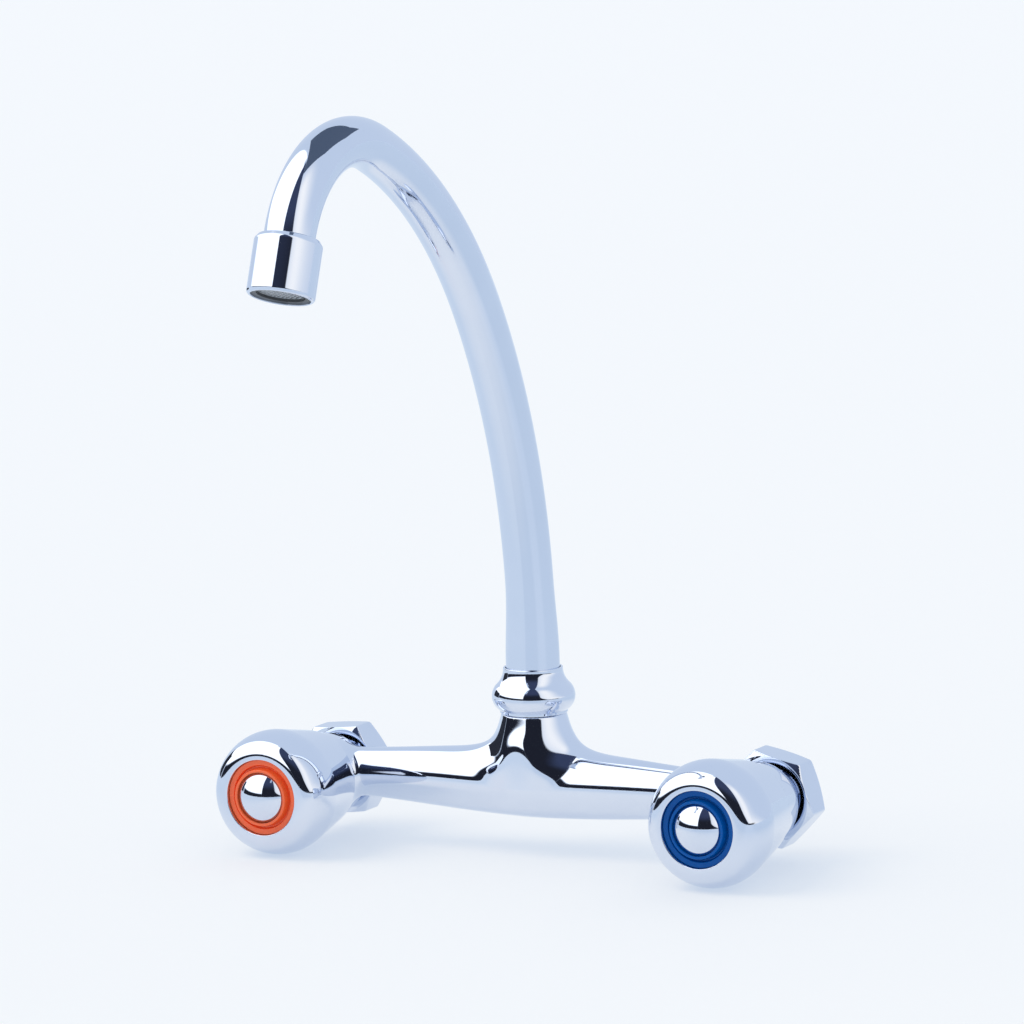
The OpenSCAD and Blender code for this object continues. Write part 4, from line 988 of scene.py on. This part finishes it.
# %% Room for reflections
GAP_LEFT, GAP_RIGHT, GAP_SPREAD, GAP_SPREAD_TOP = -3.0, 46.0, 26.0, 22.0
SOFTBOX_LEFT, SOFTBOX_LOW, SOFTBOX_TOP, SKIRTING_LEFT = -118.0, 11.0, 85.0, -84.0
GLOW_WIDE, GLOW_LOW, GLOW_TOP, LINE_RIGHT, LINE_LOW, LINE_TOP = 44, -10, 66, 100, -1, 2
NAVY_LOW, NAVY_TOP = 22, 50
WHITE, DARK, NAVY = (1.5, 1.53, 1.58), (0.016, 0.018, 0.028), (0.045, 0.06, 0.12)
PALE, GLOW, SLATE = (0.66, 0.75, 0.89), (1.16, 1.13, 1.09), (0.08, 0.11, 0.17)
SKY, BACKDROP = (0.704, 0.774, 0.88), (0.89, 0.925, 0.965)


def azimuth_of(tree, x, y):
    """Degrees from straight ahead of the handles, positive towards the cold side: atan2(x, -y)."""
    return product(tree, math(tree, "ARCTAN2", x, product(tree, y, -1.0)), 180 / np.pi)


def room_colour(tree):
    """The room's colour in the direction of the ray. The gap's far edge stands at
    GAP_RIGHT + GAP_SPREAD * (1 - elevation / GAP_SPREAD_TOP)^2."""
    ray = add_node(tree, "ShaderNodeTexCoord").outputs["Generated"]
    x, y, z = add_node(tree, "ShaderNodeSeparateXYZ", {0: ray}).outputs
    azimuth = azimuth_of(tree, x, y)
    elevation = product(tree, math(tree, "ARCSINE", z), 180 / np.pi)
    low = math(tree, "SUBTRACT", 1.0, math(tree, "DIVIDE", elevation, GAP_SPREAD_TOP))
    spread = product(tree, math(tree, "POWER", math(tree, "MAXIMUM", low, 0.0), 2.0), GAP_SPREAD)
    past_gap = math(tree, "SUBTRACT", azimuth, math(tree, "ADD", GAP_RIGHT, spread))
    glow = product(tree, between(tree, past_gap, 0, GLOW_WIDE, 22),
                   between(tree, elevation, GLOW_LOW, GLOW_TOP, 12))
    softbox = product(tree, between(tree, azimuth, SOFTBOX_LEFT, GAP_LEFT, 1.0),
                      between(tree, elevation, SOFTBOX_LOW, SOFTBOX_TOP, 1.5))
    gap = product(tree, step_up(tree, azimuth, GAP_LEFT - 1, GAP_LEFT + 1),
                  math(tree, "SUBTRACT", 1.0, step_up(tree, past_gap, -2, 2)))
    below_box = math(tree, "SUBTRACT", 1.0, step_up(tree, elevation, SOFTBOX_LOW - 2, SOFTBOX_LOW + 1))
    skirting = product(tree, between(tree, azimuth, SKIRTING_LEFT, GAP_LEFT + 1, 1.5), below_box)
    far_line = product(tree, between(tree, azimuth, GAP_RIGHT, LINE_RIGHT, 5),
                       between(tree, elevation, LINE_LOW, LINE_TOP, 0.7))
    dark = math(tree, "MAXIMUM", gap, math(tree, "MAXIMUM", skirting, far_line))
    shade = blend_colour(tree, step_up(tree, elevation, NAVY_LOW, NAVY_TOP), DARK, NAVY)
    wall = blend_colour(tree, softbox, blend_colour(tree, glow, PALE, GLOW), WHITE)
    return blend_colour(tree, dark, wall, shade)


world = bpy.data.worlds.new("studio")
bpy.context.scene.world = world
world.use_nodes = True
sky = world.node_tree
rays = add_node(sky, "ShaderNodeLightPath").outputs
plain = blend_colour(sky, rays["Is Camera Ray"], SKY, BACKDROP)
background = sky.nodes["Background"]
sky.links.new(blend_colour(sky, rays["Is Glossy Ray"], plain, room_colour(sky)), background.inputs["Color"])
background.inputs["Strength"].default_value = 1.0
print("room for reflections painted")

# %% [markdown]
# The floor is pale paper with a share of light of its own, so that the shadow on it stays soft. Glossy rays
# alone find it darker away from the neck, a painted reflection shade whose tone depends on the direction from
# the spout.

# %% Floor
FLOOR_Z, FLOOR_REACH = -0.0198, 14.0
PAPER, PAPER_GLOW = (0.58, 0.5, 0.36), (0.363, 0.4435, 0.593)
PAPER_NEAR, PAPER_FAR, RIGHT_START, RIGHT_END = 0.06, 0.24, 50, 85
# Floor tones that only glossy rays find: painted reflection shade, by direction from the spout.
REFLECTED_PAPER_LEFT, REFLECTED_PAPER_DIM, REFLECTED_PAPER_SOFT = (0.8, 0.87, 0.95), (0.72, 0.8, 0.9), (0.78, 0.85, 0.94)


def stage_sheet(name, points):
    """A flat sheet that is not part of the object. Returns it, its node tree and its shader's sockets."""
    mesh = bpy.data.meshes.new(name)
    mesh.from_pydata(points, [], [tuple(range(len(points)))])
    material = bpy.data.materials.new(name)
    material.use_nodes = True
    mesh.materials.append(material)
    sheet = add_object(name, mesh)
    sockets = material.node_tree.nodes["Principled BSDF"].inputs
    sockets["Emission Strength"].default_value = 1.0
    sockets["Roughness"].default_value = 0.9
    return sheet, material.node_tree, sockets


corners = [(x * FLOOR_REACH, y * FLOOR_REACH, FLOOR_Z) for x, y in ((-1, -1), (1, -1), (1, 1), (-1, 1))]
_, paper, paper_shader = stage_sheet("floor", corners)
place = add_node(paper, "ShaderNodeTexCoord").outputs["Object"]
x, y, _ = add_node(paper, "ShaderNodeSeparateXYZ", {0: place}).outputs
y = math(paper, "SUBTRACT", y, -SPOUT_AXIS * MM)
way = azimuth_of(paper, x, y)
away = math(paper, "SQRT", math(paper, "ADD", product(paper, x, x), product(paper, y, y)))
# Painted reflection shade: glossy rays find the floor darker to the left, ahead and far right, away from the
# neck.
painted_right_tone = blend_colour(paper, between(paper, way, RIGHT_START, RIGHT_END, 8), REFLECTED_PAPER_DIM, REFLECTED_PAPER_SOFT)
painted_reflection_tone = blend_colour(paper, step_up(paper, way, GAP_LEFT - 4, GAP_LEFT + 4), REFLECTED_PAPER_LEFT, painted_right_tone)
glossy = add_node(paper, "ShaderNodeLightPath").outputs["Is Glossy Ray"]
share = product(paper, step_up(paper, away, PAPER_NEAR, PAPER_FAR), glossy)
painted_reflection_shade = blend_colour(paper, share, (1, 1, 1), painted_reflection_tone)
for socket, colour in (("Base Color", PAPER), ("Emission Color", PAPER_GLOW)):
    tinted = add_node(paper, "ShaderNodeVectorMath", {0: painted_reflection_shade, 1: colour}, operation="MULTIPLY")
    paper.links.new(tinted.outputs["Vector"], paper_shader[socket])
paper_shader["Specular IOR Level"].default_value = 0.1
print("floor at", FLOOR_Z, "m")

# %% [markdown]
# Two dark cards, which photographers call flags, give chrome its edges. A tall one stands to the left
# and darkens the neck's side. A small leaf-shaped one lies above the bend of the spout. Only reflections
# find them: the camera, the lamp and the floor do not.

# %% Flags
FLAG_LEFT, FLAG_RIGHT, FLAG_REACH, FLAG_FOOT, FLAG_TOP = -112.0, -84.0, 0.5, 0.01, 0.16
LEAF = ((-8, -143), (-3, -134.5), (8, -123.7), (13, -113), (18.5, -123), (17, -144), (7.5, -165), (3, -157.5))
LEAF_HEIGHT = 226


def dark_flag(name, points, colour):
    """A card that only reflections find. It has no colour but its own faint light."""
    card, _, sockets = stage_sheet(name, points)
    sockets["Base Color"].default_value = (0, 0, 0, 1)
    sockets["Emission Color"].default_value = (*colour, 1)
    card.visible_camera = card.visible_diffuse = card.visible_transmission = card.visible_shadow = False


left_foot, right_foot = (
    [FLAG_REACH * np.sin(end), -SPOUT_AXIS * MM - FLAG_REACH * np.cos(end)]
    for end in np.radians([FLAG_LEFT, FLAG_RIGHT])
)
dark_flag("side_flag", [(*left_foot, FLAG_FOOT), (*right_foot, FLAG_FOOT),
                        (*right_foot, FLAG_TOP), (*left_foot, FLAG_TOP)], DARK)
dark_flag("leaf_flag", [(x * MM, y * MM, LEAF_HEIGHT * MM) for x, y in LEAF], SLATE)
print("two flags")

# %% [markdown]
# One wide, soft and slightly warm lamp at the left front gives the floor its shadow. Reflections do not
# find it, since the room already has its softbox.

# %% Lamp
KEY_AZIMUTH, KEY_ELEVATION, KEY_SPREAD = np.radians([-58.0, 52.0, 38.0])
KEY_STRENGTH, KEY_COLOUR = 0.85, (1.0, 0.93, 0.8)

key = bpy.data.lights.new("key", "SUN")
key.energy, key.color, key.angle = KEY_STRENGTH, KEY_COLOUR, KEY_SPREAD
key_lamp = add_object("key", key)
to_key = towards(KEY_AZIMUTH, KEY_ELEVATION)
across = np.cross([0, 0, 1], to_key)
across /= np.linalg.norm(across)
key_lamp.matrix_world = standing(across, np.cross(to_key, across), to_key)
key_lamp.visible_glossy = False
bpy.context.scene.view_settings.view_transform = "Standard"
print("lamp towards", np.round(to_key, 2))
